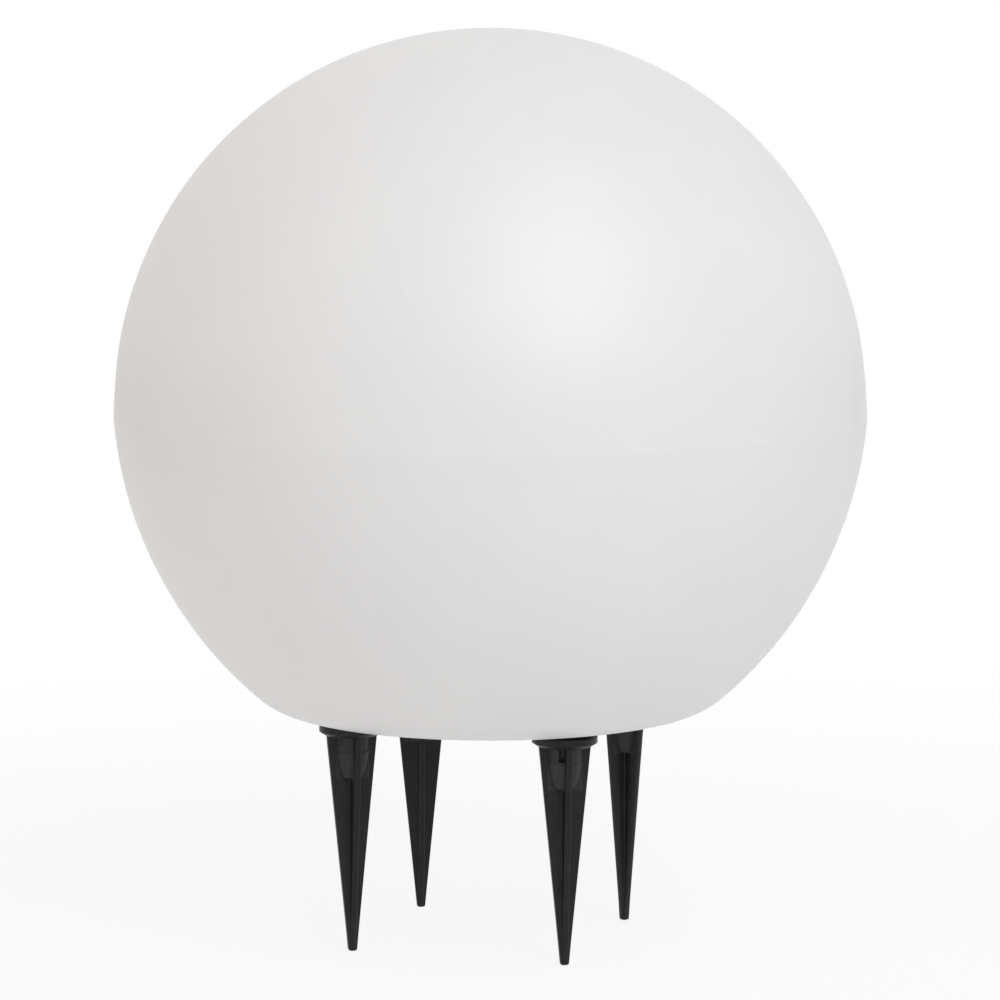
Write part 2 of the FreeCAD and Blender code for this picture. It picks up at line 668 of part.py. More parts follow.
def holder_stirrup():
    """Bent steel strip: two feet on the cover, two legs, and a bridge that carries the holder."""
    half = STIRRUP_HALF
    foot_end = half + STIRRUP_T / 2 + STIRRUP_FOOT
    low = COVER_TOP
    top = STIRRUP_TOP
    t = STIRRUP_T
    inner = half - t / 2
    outer = half + t / 2
    face = outline([
        (-foot_end, low, 0), (-inner, low, FOOT_BEND_OUT), (-inner, top - t, BEND_ROUND),
        (inner, top - t, BEND_ROUND), (inner, low, FOOT_BEND_OUT), (foot_end, low, 0),
        (foot_end, low + t, 0), (outer, low + t, FOOT_BEND_ROUND), (outer, top, t + BEND_ROUND),
        (-outer, top, t + BEND_ROUND), (-outer, low + t, FOOT_BEND_ROUND), (-foot_end, low + t, 0)])
    face.translate(at(0, -STIRRUP_W / 2, 0))
    strip = face.extrude(at(0, STIRRUP_W, 0))
    strip = strip.cut(cylinder(NIPPLE_R, top - t - OVERRUN, top + OVERRUN))
    hole = cylinder(STIRRUP_SCREW_R + STIRRUP_SCREW_PLAY, low - OVERRUN, low + t + OVERRUN)
    for x in foot_screw_places():
        strip = strip.cut(moved(hole, x, 0))
    return strip


def nipple():
    return tube(NIPPLE_R, NIPPLE_BORE_R, STIRRUP_TOP - STIRRUP_T - NIPPLE_BELOW, STIRRUP_TOP + NIPPLE_ABOVE)


def nipple_nut():
    top = STIRRUP_TOP - STIRRUP_T
    nut = hexagon(NIPPLE_NUT_AF, top - NIPPLE_NUT_H, top)
    return nut.cut(cylinder(NIPPLE_R, top - NIPPLE_NUT_H - OVERRUN, top + OVERRUN))


def terminal_tube_places():
    return [-TERMINAL_PITCH / 2, TERMINAL_PITCH / 2]


def upright_shafts(radius, low, high):
    """Two upright shafts on each wire tube, one near either end."""
    return [moved(cylinder(radius, low, high), x, y) for x in terminal_tube_places()
            for y in (TERMINAL_NEAR_Y + GRUB_INSET, TERMINAL_FAR_Y - GRUB_INSET)]


def wire_bore(radius, x):
    return Part.makeCylinder(radius, TERMINAL_FAR_Y - TERMINAL_NEAR_Y,
                             at(x, TERMINAL_NEAR_Y, COVER_TOP + TERMINAL_LIFT), at(0, 1, 0))


def terminal_tubes():
    tubes = []
    for x in terminal_tube_places():
        body = wire_bore(TUBE_R, x).cut(wire_bore(LEAD_R + WIRE_PLAY, x))
        for screw in terminal_screws():
            body = body.cut(screw)
        tubes.append(body)
    return tubes


def terminal_block():
    """Two-pole connector strip, waisted between the poles, open screw wells on top."""
    outer = TERMINAL_HALF_X
    crest = TERMINAL_PITCH / 2 + TERMINAL_POLE_HALF
    gap = TERMINAL_GAP_HALF
    shoulder = COVER_TOP + TERMINAL_LIFT + TERMINAL_SHOULDER
    top = COVER_TOP + TERMINAL_H
    floor = COVER_TOP + TERMINAL_GAP_FLOOR
    face = outline([
        (-outer, COVER_TOP, 0), (outer, COVER_TOP, 0), (outer, shoulder, TERMINAL_ROUND),
        (crest, top, TERMINAL_ROUND), (gap, top, TERMINAL_ROUND), (gap, floor, 0), (-gap, floor, 0),
        (-gap, top, TERMINAL_ROUND), (-crest, top, TERMINAL_ROUND), (-outer, shoulder, TERMINAL_ROUND)])
    face.translate(at(0, TERMINAL_NEAR_Y, 0))
    body = face.extrude(at(0, TERMINAL_FAR_Y - TERMINAL_NEAR_Y, 0))
    for x in terminal_tube_places():
        body = body.cut(wire_bore(TUBE_R, x))
    for well in upright_shafts(GRUB_WELL_R, COVER_TOP + TERMINAL_LIFT, top + OVERRUN):
        body = body.cut(well)
    return body.cut(terminal_fixing_screw())


def terminal_screws():
    return upright_shafts(GRUB_R, COVER_TOP + TERMINAL_LIFT + LEAD_R, COVER_TOP + TERMINAL_H - GRUB_SINK)


def terminal_fixing_screw():
    middle = (TERMINAL_NEAR_Y + TERMINAL_FAR_Y) / 2
    screw = pan_screw(FIXING_SCREW_R, FIXING_HEAD_R, FIXING_HEAD_H, FIXING_SCREW_L,
                      COVER_TOP + TERMINAL_GAP_FLOOR)
    return moved(screw, 0, middle)


def lead(side):
    """Insulated wire from its terminal, over the gland and up through the nipple."""
    z = COVER_TOP + TERMINAL_LIFT
    stops = [
        at(side * TERMINAL_PITCH / 2, TERMINAL_NEAR_Y + LEAD_IN_TUBE, z),
        at(side * TERMINAL_PITCH / 2, TERMINAL_NEAR_Y - LEAD_TURN_IN, z),
        at(side * LEAD_SPREAD, TERMINAL_NEAR_Y - LEAD_TOGETHER, z),
        at(side * LEAD_SPREAD, 0, z),
        at(side * LEAD_SPREAD, 0, HOLDER_COLLAR_TOP),
    ]
    edges = []
    last = stops[0]
    for before, corner, after in zip(stops, stops[1:], stops[2:]):
        back = (before - corner).normalize()
        on = (after - corner).normalize()
        half = back.getAngle(on) / 2
        start = corner + back * (LEAD_BEND / math.tan(half))
        end = corner + on * (LEAD_BEND / math.tan(half))
        middle = corner + (back + on).normalize() * (LEAD_BEND / math.sin(half) - LEAD_BEND)
        edges.append(Part.LineSegment(last, start).toShape())
        edges.append(Part.Arc(start, middle, end).toShape())
        last = end
    edges.append(Part.LineSegment(last, stops[-1]).toShape())
    section = Part.Wire(Part.makeCircle(LEAD_R, stops[0], at(0, 1, 0)))
    return Part.Wire(edges).makePipeShell([section], True, True)


# ---- lamp holder ----
def holder_base():
    """Lower half of the holder: flared cup on the nipple with a collar that the skirt screws on."""
    low = STIRRUP_TOP
    collar = HOLDER_R - HOLDER_WALL
    shoulder = HOLDER_COLLAR_TOP - HOLDER_COLLAR_H
    body = turned([
        (0, low, 0), (HOLDER_FOOT_R, low, HOLDER_FOOT_ROUND),
        (HOLDER_R, low + HOLDER_FLARE_H, HOLDER_FLARE_ROUND), (HOLDER_R, shoulder, 0),
        (collar, shoulder, 0), (collar, HOLDER_COLLAR_TOP, 0), (0, HOLDER_COLLAR_TOP, 0)])
    bore = INSERT_R - HOLDER_LAND
    floor = low + HOLDER_FLOOR
    top = HOLDER_COLLAR_TOP + OVERRUN
    hollow = turned([
        (0, floor, 0), (HOLDER_HOLLOW_R, floor, HOLDER_HOLLOW_ROUND),
        (bore, low + HOLDER_HOLLOW_H, HOLDER_FOOT_ROUND), (bore, top, 0), (0, top, 0)])
    return body.cut(hollow).cut(cylinder(NIPPLE_R, low - OVERRUN, floor + OVERRUN))


def holder_insert():
    """Contact carrier: disc on the collar, notched for the side contact."""
    disc = cylinder(INSERT_R, HOLDER_COLLAR_TOP, INSERT_TOP)
    notch = block(SHELL_OUTER_R, INSERT_R + OVERRUN, -NOTCH_HALF, NOTCH_HALF,
                  INSERT_TOP - NOTCH_DEPTH, INSERT_TOP + OVERRUN)
    return disc.cut(notch)


def holder_screw_shell():
    return tube(SHELL_OUTER_R, SCREW_SHELL_R, INSERT_TOP, HOLDER_TOP - HOLDER_LIP_T)


def holder_side_contact():
    return block(SHELL_OUTER_R, SHELL_OUTER_R + CONTACT_T, -CONTACT_HALF, CONTACT_HALF,
                 INSERT_TOP - NOTCH_DEPTH, INSERT_TOP + CONTACT_REACH)


def holder_centre_contact():
    """Sprung bronze tongue under the centre contact of the bulb."""
    low = INSERT_TOP
    top = BULB_TIP - TONGUE_GAP
    t = CONTACT_T
    face = outline([
        (TONGUE_FOOT, low, 0), (TONGUE_RISE, low, 0), (TONGUE_CREST, top - t, 0),
        (TONGUE_END, top - t - TONGUE_GAP, 0), (TONGUE_END, top - TONGUE_GAP, 0),
        (TONGUE_CREST, top, 0), (TONGUE_RISE, low + t, 0), (TONGUE_FOOT, low + t, 0)])
    face.translate(at(0, -CONTACT_HALF, 0))
    return face.extrude(at(0, 2 * CONTACT_HALF, 0))


def holder_skirt():
    """Upper half of the holder: ribbed sleeve with an inner lip that keeps the screw shell down."""
    low = HOLDER_COLLAR_TOP - HOLDER_COLLAR_H
    collar = HOLDER_R - HOLDER_WALL
    mouth = SCREW_SHELL_R + HOLDER_LIP_PLAY
    bore = INSERT_R + HOLDER_INSERT_PLAY
    lip = HOLDER_TOP - HOLDER_LIP_T
    taper = HOLDER_TOP - HOLDER_TAPER_H
    sleeve = turned([
        (collar, low, 0), (HOLDER_R, low, 0), (HOLDER_R, taper, HOLDER_TAPER_ROUND),
        (HOLDER_R - HOLDER_TAPER, HOLDER_TOP, HOLDER_EDGE_ROUND), (mouth, HOLDER_TOP, HOLDER_MOUTH_ROUND),
        (mouth, lip, 0), (bore, lip, 0), (bore, HOLDER_COLLAR_TOP, 0), (collar, HOLDER_COLLAR_TOP, 0)])
    flute = cylinder(FLUTE_R, low + FLUTE_MARGIN, taper - FLUTE_MARGIN)
    for copy in ring_of(flute, FLUTE_COUNT, HOLDER_R + FLUTE_R - FLUTE_SINK):
        sleeve = sleeve.cut(copy)
    return sleeve


# ---- bulb ----
def bulb_contact():
    top = BULB_TIP + TIP_H
    return turned([(0, BULB_TIP, 0), (TIP_R, BULB_TIP, TIP_EDGE_ROUND), (TIP_R, top, 0), (0, top, 0)])


def bulb_insulator():
    low = BULB_TIP + TIP_H
    bead_r = CAP_R - CAP_ROLL_IN
    return turned([
        (0, low, 0), (BEAD_FOOT_R, low, 0), (bead_r, low + BEAD_FLARE_H, BEAD_ROUND),
        (bead_r, low + BEAD_H, 0), (0, low + BEAD_H, 0)])


def bulb_cap():
    """Screw cap: drawn cup, open above, its lower edge rolled in round the insulator."""
    low = BULB_TIP + CAP_ROLL_Z
    high = BULB_TIP + CAP_LENGTH
    return turned([
        (CAP_R - CAP_ROLL_IN, low, 0), (CAP_R, low, CAP_EDGE_ROUND), (CAP_R, high, 0),
        (CAP_R - CAP_WALL, high, 0),
        (CAP_R - CAP_WALL, low + CAP_WALL, 0), (CAP_R - CAP_ROLL_IN, low + CAP_WALL, 0)])


def bulb_housing():
    """Heat-sink housing: plug in the cap, flaring to the rim that carries the board."""
    cap_top = BULB_TIP + CAP_LENGTH
    waist_z = cap_top + WAIST_H
    plug = CAP_R - CAP_WALL - RUN_FIT
    plug_low = cap_top - HOUSING_PLUG_L
    ledge = LED_BOARD_LOW
    return turned([
        (plug - HOUSING_WALL, plug_low, 0), (plug, plug_low, 0), (plug, cap_top, 0),
        (BULB_NECK_R, cap_top, BULB_NECK_ROUND), (BULB_NECK_R + WAIST_OUT, waist_z, WAIST_ROUND),
        (HOUSING_RIM_R, ledge - HOUSING_RIM_H, HOUSING_RIM_ROUND), (HOUSING_RIM_R, DIFFUSER_RIM, 0),
        (HOUSING_BORE_R, DIFFUSER_RIM, 0), (HOUSING_BORE_R, ledge, 0), (HOUSING_LEDGE_R, ledge, 0),
        (HOUSING_LEDGE_R, ledge - HOUSING_LEDGE_T, 0), (BULB_NECK_R, waist_z, WAIST_INNER_ROUND),
        (plug - HOUSING_WALL, cap_top + WAIST_OUT, 0)])


def bulb_diffuser():
    """Opal dome, a sphere over most of its height, with a spigot inside the housing rim."""
    inner = BULB_R - DIFFUSER_WALL
    outer_ball = Part.makeSphere(BULB_R, at(0, 0, BULB_CENTRE))
    inner_ball = Part.makeSphere(inner, at(0, 0, BULB_CENTRE))
    below = cylinder(BULB_R + OVERRUN, BULB_CENTRE - BULB_R - OVERRUN, DIFFUSER_RIM)
    dome = outer_ball.cut(inner_ball).cut(below)
    lap_r = math.sqrt(inner * inner - DIFFUSER_DROP * DIFFUSER_DROP) + SPIGOT_LAP
    lap_top = DIFFUSER_RIM + SPIGOT_LAP
    low = DIFFUSER_RIM - SPIGOT_LENGTH
    spigot_r = HOUSING_BORE_R - SPIGOT_PLAY
    bore = spigot_r - SPIGOT_WALL
    spigot = turned([
        (bore, low, 0), (spigot_r, low, 0), (spigot_r, DIFFUSER_RIM, 0), (lap_r, DIFFUSER_RIM, 0),
        (lap_r, lap_top, 0), (bore, lap_top, 0)])
    return dome.fuse(spigot).removeSplitter()


def led_board():
    return cylinder(HOUSING_BORE_R - LED_BOARD_PLAY, LED_BOARD_LOW, LED_BOARD_TOP)


def leds():
    chip = block(-LED_HALF_X, LED_HALF_X, -LED_HALF_Y, LED_HALF_Y, LED_BOARD_TOP, LED_BOARD_TOP + LED_H)
    return ring_of(chip, LED_COUNT, LED_PITCH_R)


def driver_board():
    """Upright driver board, soldered to the underside of the LED board, with its tallest parts."""
    top = LED_BOARD_LOW
    board = block(-DRIVER_HALF_W, DRIVER_HALF_W, -DRIVER_HALF_T, DRIVER_HALF_T, top - DRIVER_L, top)
    capacitor = moved(cylinder(CAPACITOR_R, top - CAPACITOR_FROM, top - PARTS_TOP), 0, CAPACITOR_Y)
    coil = block(-COIL_HALF_W, COIL_HALF_W, -COIL_Y, -DRIVER_HALF_T, top - COIL_FROM, top - PARTS_TOP)
    return board.fuse([capacitor, coil])


# ---- write the parts ----
def collect():
    parts = {
        "globe_shell": [globe_shell()],
        "spike_inserts": spike_inserts(),
        "cover_inserts": cover_inserts(),
        "base_cover": [base_cover()],
        "cover_seal": [cover_seal()],
        "cover_screws": cover_screws(),
        "gland_washer": [gland_washer()],
        "gland_body": [gland_body()],
        "gland_locknut": [gland_locknut()],
        "gland_seal": [gland_seal()],
        "gland_nut": [gland_nut()],
        "terminal_block": [terminal_block()],
        "terminal_tubes": terminal_tubes(),
        "terminal_screws": terminal_screws(),
        "terminal_fixing_screw": [terminal_fixing_screw()],
        "holder_stirrup": [holder_stirrup()],
        "stirrup_screws": stirrup_screws(),
        "nipple": [nipple()],
        "nipple_nut": [nipple_nut()],
        "lead_live": [lead(1)],
        "lead_neutral": [lead(-1)],
        "holder_base": [holder_base()],
        "holder_insert": [holder_insert()],
        "holder_screw_shell": [holder_screw_shell()],
        "holder_side_contact": [holder_side_contact()],
        "holder_centre_contact": [holder_centre_contact()],
        "holder_skirt": [holder_skirt()],
        "bulb_contact": [bulb_contact()],
        "bulb_insulator": [bulb_insulator()],
        "bulb_cap": [bulb_cap()],
        "bulb_housing": [bulb_housing()],
        "bulb_diffuser": [bulb_diffuser()],
        "led_board": [led_board()],
        "leds": leds(),
        "driver_board": [driver_board()],
    }
    pieces = {"spike": spike_body(), "spike_bolt": spike_bolt(), "spike_washer": spike_washer()}
    for (name, (side_x, side_y, turn)), (x, y) in zip(SPIKES.items(), spike_places()):
        for piece, shape in pieces.items():
            parts[piece + "_" + name] = [moved(shape, x, y, BASE_Z, turn)]
    return parts


os.makedirs("parts", exist_ok=True)
for node, shapes in collect().items():
    solids = [solid for shape in shapes for solid in shape.Solids]
    body = solids[0] if len(solids) == 1 else Part.makeCompound(solids)
    body.exportStep("parts/" + node + ".step")
    print(node, len(solids), round(sum(solid.Volume for solid in solids)),
          "valid" if all(solid.isValid() for solid in solids) else "NOT VALID")
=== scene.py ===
import math

import bmesh
import bpy
import numpy as np
from mathutils import Matrix, Vector, noise


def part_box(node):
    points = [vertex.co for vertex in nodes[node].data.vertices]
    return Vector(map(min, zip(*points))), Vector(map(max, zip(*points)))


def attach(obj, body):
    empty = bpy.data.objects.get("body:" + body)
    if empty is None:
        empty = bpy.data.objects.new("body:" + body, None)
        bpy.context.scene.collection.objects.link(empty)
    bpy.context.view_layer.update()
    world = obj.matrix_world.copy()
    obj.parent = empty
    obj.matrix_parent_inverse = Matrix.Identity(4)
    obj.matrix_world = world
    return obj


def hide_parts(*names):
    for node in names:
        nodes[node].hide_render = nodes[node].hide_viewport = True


# A white garden globe light on four black ground spikes. Metres, +Z up, the axis of the
# ball on Z, the floor at the tips of the spikes, front towards -Y.

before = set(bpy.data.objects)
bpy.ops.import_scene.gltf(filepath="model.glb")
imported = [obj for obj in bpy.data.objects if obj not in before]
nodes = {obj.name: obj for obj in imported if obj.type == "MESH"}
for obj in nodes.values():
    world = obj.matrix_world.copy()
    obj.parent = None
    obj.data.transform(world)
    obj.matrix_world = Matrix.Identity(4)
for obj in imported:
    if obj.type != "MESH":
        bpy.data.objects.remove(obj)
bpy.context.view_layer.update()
MM = 0.001
TURN = 2 * math.pi

# ---- The ball ----
# One hollow moulding in white polyethylene, 3.5 mm thick, with a soft parting ridge below its
# middle. Its flat base draws in to a recess for the lamp unit, a cable groove and screw bosses.

ball_low, ball_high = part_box("globe_shell")
BASE_Z = ball_low.z
BALL_R = 250.0 * MM
BALL_CENTRE_Z = ball_high.z - BALL_R
SEAM_R = ball_high.x
SEAM_Z = BALL_CENTRE_Z - 7.1 * MM
RIDGE_START = 25.0 * MM
LOWER_R = 274.8 * MM
CORNER_R = 48.0 * MM
FLAT_R = 126.5 * MM
WALL = 3.5 * MM
RECESS_MOUTH_R = 72.0 * MM
RECESS_END_R = 69.0 * MM
MOUTH_FLARE = 6.0 * MM
MOUTH_ROUND = 5.6 * MM
CEILING_Z = BASE_Z + 60.0 * MM
NECK_R = 48.0 * MM
GROOVE_R = 6.0 * MM
GROOVE_DEPTH = 10.0 * MM
FLASH = 0.14 * MM
FLASH_HALF = 0.7 * MM
WAVE = 0.16 * MM
WAVES_PER_METRE = 17.0
SPIKE_PLACES = {}
for spike_name in ("front_left", "front_right", "rear_left", "rear_right"):
    low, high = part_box("spike_washer_" + spike_name)
    SPIKE_PLACES[spike_name] = (low + high) / 2
INSERT_R = 6.5 * MM
INSERT_L = 18.0 * MM
COVER_PITCH_R = 58.0 * MM
COVER_INSERT_R = 3.5 * MM
COVER_INSERT_L = 12.0 * MM
SPIKE_BOSS = (12.5 * MM, 11.0 * MM)
COVER_BOSS = (8.0 * MM, 7.0 * MM)
COVER_PLACES = [(COVER_PITCH_R * math.cos(a), COVER_PITCH_R * math.sin(a))
                for a in (math.radians(45 + 90 * i) for i in range(4))]


def arc(centre, radius, start, end, steps):
    """Points on an arc from one angle to another, in degrees, as (radius, height)."""
    turns = [math.radians(start + (end - start) * i / steps) for i in range(steps + 1)]
    return [(centre[0] + radius * math.cos(t), centre[1] + radius * math.sin(t)) for t in turns]


def rounded(*corners, steps=5):
    """Points of a closed outline given as (x, y, rounding) corners."""
    points = []
    for i, (x, y, rounding) in enumerate(corners):
        corner = Vector((x, y))
        if not rounding:
            points.append((x, y))
            continue
        back = (Vector(corners[i - 1][:2]) - corner).normalized()
        on = (Vector(corners[(i + 1) % len(corners)][:2]) - corner).normalized()
        half = back.angle(on) / 2
        centre = corner + (back + on).normalized() * rounding / math.sin(half)
        first = corner + back * rounding / math.tan(half) - centre
        last = corner + on * rounding / math.tan(half) - centre
        sweep = math.atan2(first.x * last.y - first.y * last.x, first.dot(last))
        start = math.atan2(first.y, first.x)
        points += arc(centre, rounding, math.degrees(start), math.degrees(start + sweep), steps)
    return points


def solid(name, bm, crease=32):
    """An object from mesh data, shaded smooth except at edges sharper than crease degrees."""
    bmesh.ops.recalc_face_normals(bm, faces=bm.faces)
    mesh = bpy.data.meshes.new(name)
    bm.to_mesh(mesh)
    bm.free()
    mesh.shade_smooth()
    mesh.set_sharp_from_angle(angle=math.radians(crease))
    thing = bpy.data.objects.new(name, mesh)
    bpy.context.scene.collection.objects.link(thing)
    return thing


def lathe(name, outline, around=96, relief=None, crease=32):
    """A closed (radius, height) outline turned about Z; relief moves a point of the surface."""
    bm = bmesh.new()
    rings = []
    for radius, height in outline:
        if radius < 1e-7:
            rings.append([bm.verts.new((0, 0, height))] * around)
            continue
        ring = []
        for i in range(around):
            angle = TURN * i / around
            r, z = relief(angle, radius, height) if relief else (radius, height)
            ring.append(bm.verts.new((r * math.cos(angle), r * math.sin(angle), z)))
        rings.append(ring)
    for ring, following in zip(rings, rings[1:] + rings[:1]):
        for i in range(around):
            k = (i + 1) % around
            corners = list(dict.fromkeys([ring[i], ring[k], following[k], following[i]]))
            if len(corners) > 2:
                bm.faces.new(corners)
    return solid(name, bm, crease)


def loft(name, sections, crease=32):
    """A solid through sections of the same number of points, closed at both ends."""
    bm = bmesh.new()
    rings = [[bm.verts.new(point) for point in section] for section in sections]
    for ring, following in zip(rings, rings[1:]):
        for i in range(len(ring)):
            bm.faces.new([ring[i - 1], ring[i], following[i], following[i - 1]])
    bm.faces.new(rings[0])
    bm.faces.new(rings[-1])
    return solid(name, bm, crease)


def drawn(name, face, near, far, crease=32):
    """An outline in the XZ plane drawn out along Y."""
    return loft(name, [[Vector((x, y, z)) for x, z in face] for y in (near, far)], crease)


def settle(thing):
    """Keeps what the modifiers make as the object's own mesh."""
    graph = bpy.context.evaluated_depsgraph_get()
    made = bpy.data.meshes.new_from_object(thing.evaluated_get(graph))
    old = thing.data
    thing.modifiers.clear()
    thing.data = made
    bpy.data.meshes.remove(old)


def carve(thing, tools, operation="DIFFERENCE", crease=32):
    """Cuts tools out of an object, or joins them to it, and removes them."""
    for tool in tools:
        change = thing.modifiers.new("carve", "BOOLEAN")
        change.operation = operation
        change.object = tool
        change.solver = "EXACT"
    settle(thing)
    for tool in tools:
        bpy.data.objects.remove(tool)
    thing.data.shade_smooth()
    thing.data.set_sharp_from_angle(angle=math.radians(crease))
    return thing


def ease(thing, width):
    """Rounds the sharp edges of a piece by a width."""
    bevel = thing.modifiers.new("ease", "BEVEL")
    bevel.width = width
    bevel.segments = 2
    bevel.limit_method = "ANGLE"
    bevel.angle_limit = math.radians(35)
    settle(thing)
    thing.data.shade_smooth()
    thing.data.set_sharp_from_angle(angle=math.radians(50))
    return thing


def shift(thing, x=0.0, y=0.0, z=0.0, turn=0.0):
    """Turns an object's mesh about Z by degrees, then moves it."""
    thing.data.transform(Matrix.Translation((x, y, z)) @ Matrix.Rotation(math.radians(turn), 4, "Z"))
    return thing


def rod(radius, low, high, x=0.0, y=0.0, around=48):
    """A short-lived round tool for carving."""
    return shift(lathe("tool", [(0, low), (radius, low), (radius, high), (0, high)], around), x, y)


def brick(x0, x1, y0, y1, z0, z1):
    """A short-lived square tool for carving."""
    bm = bmesh.new()
    bmesh.ops.create_cube(bm, size=1.0)
    bmesh.ops.scale(bm, vec=(x1 - x0, y1 - y0, z1 - z0), verts=bm.verts)
    bmesh.ops.translate(bm, vec=((x0 + x1) / 2, (y0 + y1) / 2, (z0 + z1) / 2), verts=bm.verts)
    return solid("tool", bm)


def circles_meet(c1, r1, c2, r2, near):
    """Crossing point of two circles, the one nearer to a given point."""
    span = c2 - c1
    along = (span.length_squared + r1 * r1 - r2 * r2) / (2 * span.length)
    across = math.sqrt(r1 * r1 - along * along)
    unit = span.normalized()
    side = Vector((-unit.y, unit.x))
    return min([c1 + unit * along + side * across, c1 + unit * along - side * across],
               key=lambda point: (point - near).length)


def bearing(centre, point):
    return math.degrees(math.atan2(point.y - centre.y, point.x - centre.x))


def ball_outline(inset, steps):
    """Profile of the ball from its pole to the middle of its base, moved in by inset."""
    centre = Vector((0, BALL_CENTRE_Z))
    seam = Vector((SEAM_R, SEAM_Z))
    rise = math.asin(RIDGE_START / BALL_R)
    normal = Vector((math.cos(rise), math.sin(rise)))
    leave = centre + normal * BALL_R
    chord = seam - leave
    ridge_r = -chord.length_squared / (2 * chord.dot(normal))
    ridge_centre = leave - normal * ridge_r
    corner_centre = Vector((FLAT_R, BASE_Z + CORNER_R))
    lower_centre = circles_meet(seam, LOWER_R, corner_centre, LOWER_R - CORNER_R, centre)
    seam_in = circles_meet(ridge_centre, ridge_r - inset, lower_centre, LOWER_R - inset, seam)
    meet = bearing(lower_centre, corner_centre)
    crest = bearing(ridge_centre, seam_in)
    near_crest = crest + math.degrees(4.0 * MM / ridge_r)
    brow = bearing(lower_centre, seam_in)
    near_brow = brow - math.degrees(4.0 * MM / LOWER_R)
    points = arc(centre, BALL_R - inset, 90, math.degrees(rise), steps)
    points += arc(ridge_centre, ridge_r - inset, math.degrees(rise), near_crest, steps // 8)[1:]
    points += arc(ridge_centre, ridge_r - inset, near_crest, crest, steps // 5)[1:]
    points += arc(lower_centre, LOWER_R - inset, brow, near_brow, steps // 5)[1:]
    points += arc(lower_centre, LOWER_R - inset, near_brow, meet, steps * 3 // 4)[1:]
    points += arc(corner_centre, CORNER_R - inset, meet, -90, steps // 4)[1:]
    points += [(0, BASE_Z + inset)]
    return points


def ball_relief(angle, radius, height):
    """The moulding's slow waves, and the thin flash that stands along the parting ridge."""
    place = Vector((radius * math.cos(angle), radius * math.sin(angle), height))
    free = min(1.0, max(0.0, (height - BASE_Z) / CORNER_R - 0.5))
    sink = WAVE * (0.5 + noise.noise(place * WAVES_PER_METRE)) * free
    off = (height - SEAM_Z) / FLASH_HALF
    worn = max(0.0, 0.5 + 1.6 * noise.noise(Vector((math.cos(angle), math.sin(angle), 0)) * 9))
    flash = FLASH * worn * math.exp(-off * off)
    band = FLASH * math.exp(-abs(off) / 8)
    out = flash - band - max(0.0, sink)
    outward = Vector((radius, height - BALL_CENTRE_Z)).normalized()
    return radius + out * outward.x, height + out * outward.y


def recess_space(grow):
    """The drafted recess with its flared mouth, or the skin round it."""
    low = BASE_Z + grow
    return lathe("tool", rounded(
        (0, low - 10 * MM, 0), (RECESS_MOUTH_R + MOUTH_FLARE, low - 10 * MM, 0),
        (RECESS_MOUTH_R + MOUTH_FLARE, low, 0), (RECESS_MOUTH_R + grow, low, MOUTH_ROUND - grow),
        (RECESS_END_R + grow, CEILING_Z + grow, 4 * MM + grow), (0, CEILING_Z + grow, 0)), 120)


def groove_space(grow):
    """The round-topped cable groove out through the rear of the base, or the skin round it."""
    radius = GROOVE_R + grow
    top = arc((0, BASE_Z + GROOVE_DEPTH - GROOVE_R), radius, 0, 180, 24)
    foot = [(-radius, BASE_Z - 10 * MM), (radius, BASE_Z - 10 * MM)]
    return drawn("tool", top + foot, NECK_R, NECK_R + CORNER_R + FLAT_R)


def boss(foot_z, radii, height, x, y):
    """The skin round an insert, tapering from its foot's radius to its top's."""
    foot_r, top_r = radii
    top = foot_z + height
    outline = rounded((0, foot_z, 0), (foot_r, foot_z, 0), (top_r, top, WALL), (0, top, 0))
    return shift(lathe("tool", outline, 48), x, y)


ball = lathe("ball_moulding", ball_outline(0, 56), 240, ball_relief)
inside = lathe("ball_inside", ball_outline(WALL, 28), 120)
skins = [recess_space(WALL), groove_space(WALL)]
skins += [boss(BASE_Z, SPIKE_BOSS, INSERT_L + WALL, p.x, p.y) for p in SPIKE_PLACES.values()]
skins += [boss(CEILING_Z, COVER_BOSS, COVER_INSERT_L + WALL, x, y) for x, y in COVER_PLACES]
carve(inside, skins)
spaces = [inside, recess_space(0), groove_space(0)]
spaces += [rod(NECK_R, CEILING_Z - MM, CEILING_Z + WALL + MM, around=96)]
spaces += [rod(INSERT_R, BASE_Z - MM, BASE_Z + INSERT_L, p.x, p.y) for p in SPIKE_PLACES.values()]
spaces += [rod(COVER_INSERT_R, CEILING_Z - MM, CEILING_Z + COVER_INSERT_L, x, y, 32)
           for x, y in COVER_PLACES]
carve(ball, spaces, crease=28)


class Signal:
    """One socket in a node tree, so that shader maths reads as sums."""

    def __init__(self, tree, socket):
        self.tree = tree
        self.socket = socket

    def reckon(self, operation, *values):
        return self.tree.node("Math", {"operation": operation}, dict(enumerate(values)))

    def __add__(self, other):
        return self.reckon("ADD", self, other)

    __radd__ = __add__

    def __sub__(self, other):
        return self.reckon("SUBTRACT", self, other)

    def __rsub__(self, other):
        return self.reckon("SUBTRACT", other, self)

    def __mul__(self, other):
        return self.reckon("MULTIPLY", self, other)

    __rmul__ = __mul__

    def between(self, low, high):
        """0 below low, 1 above high, with a soft step in between."""
        return self.tree.node("MapRange", {"interpolation_type": "SMOOTHSTEP"},
                              {"Value": self, "From Min": low, "From Max": high})


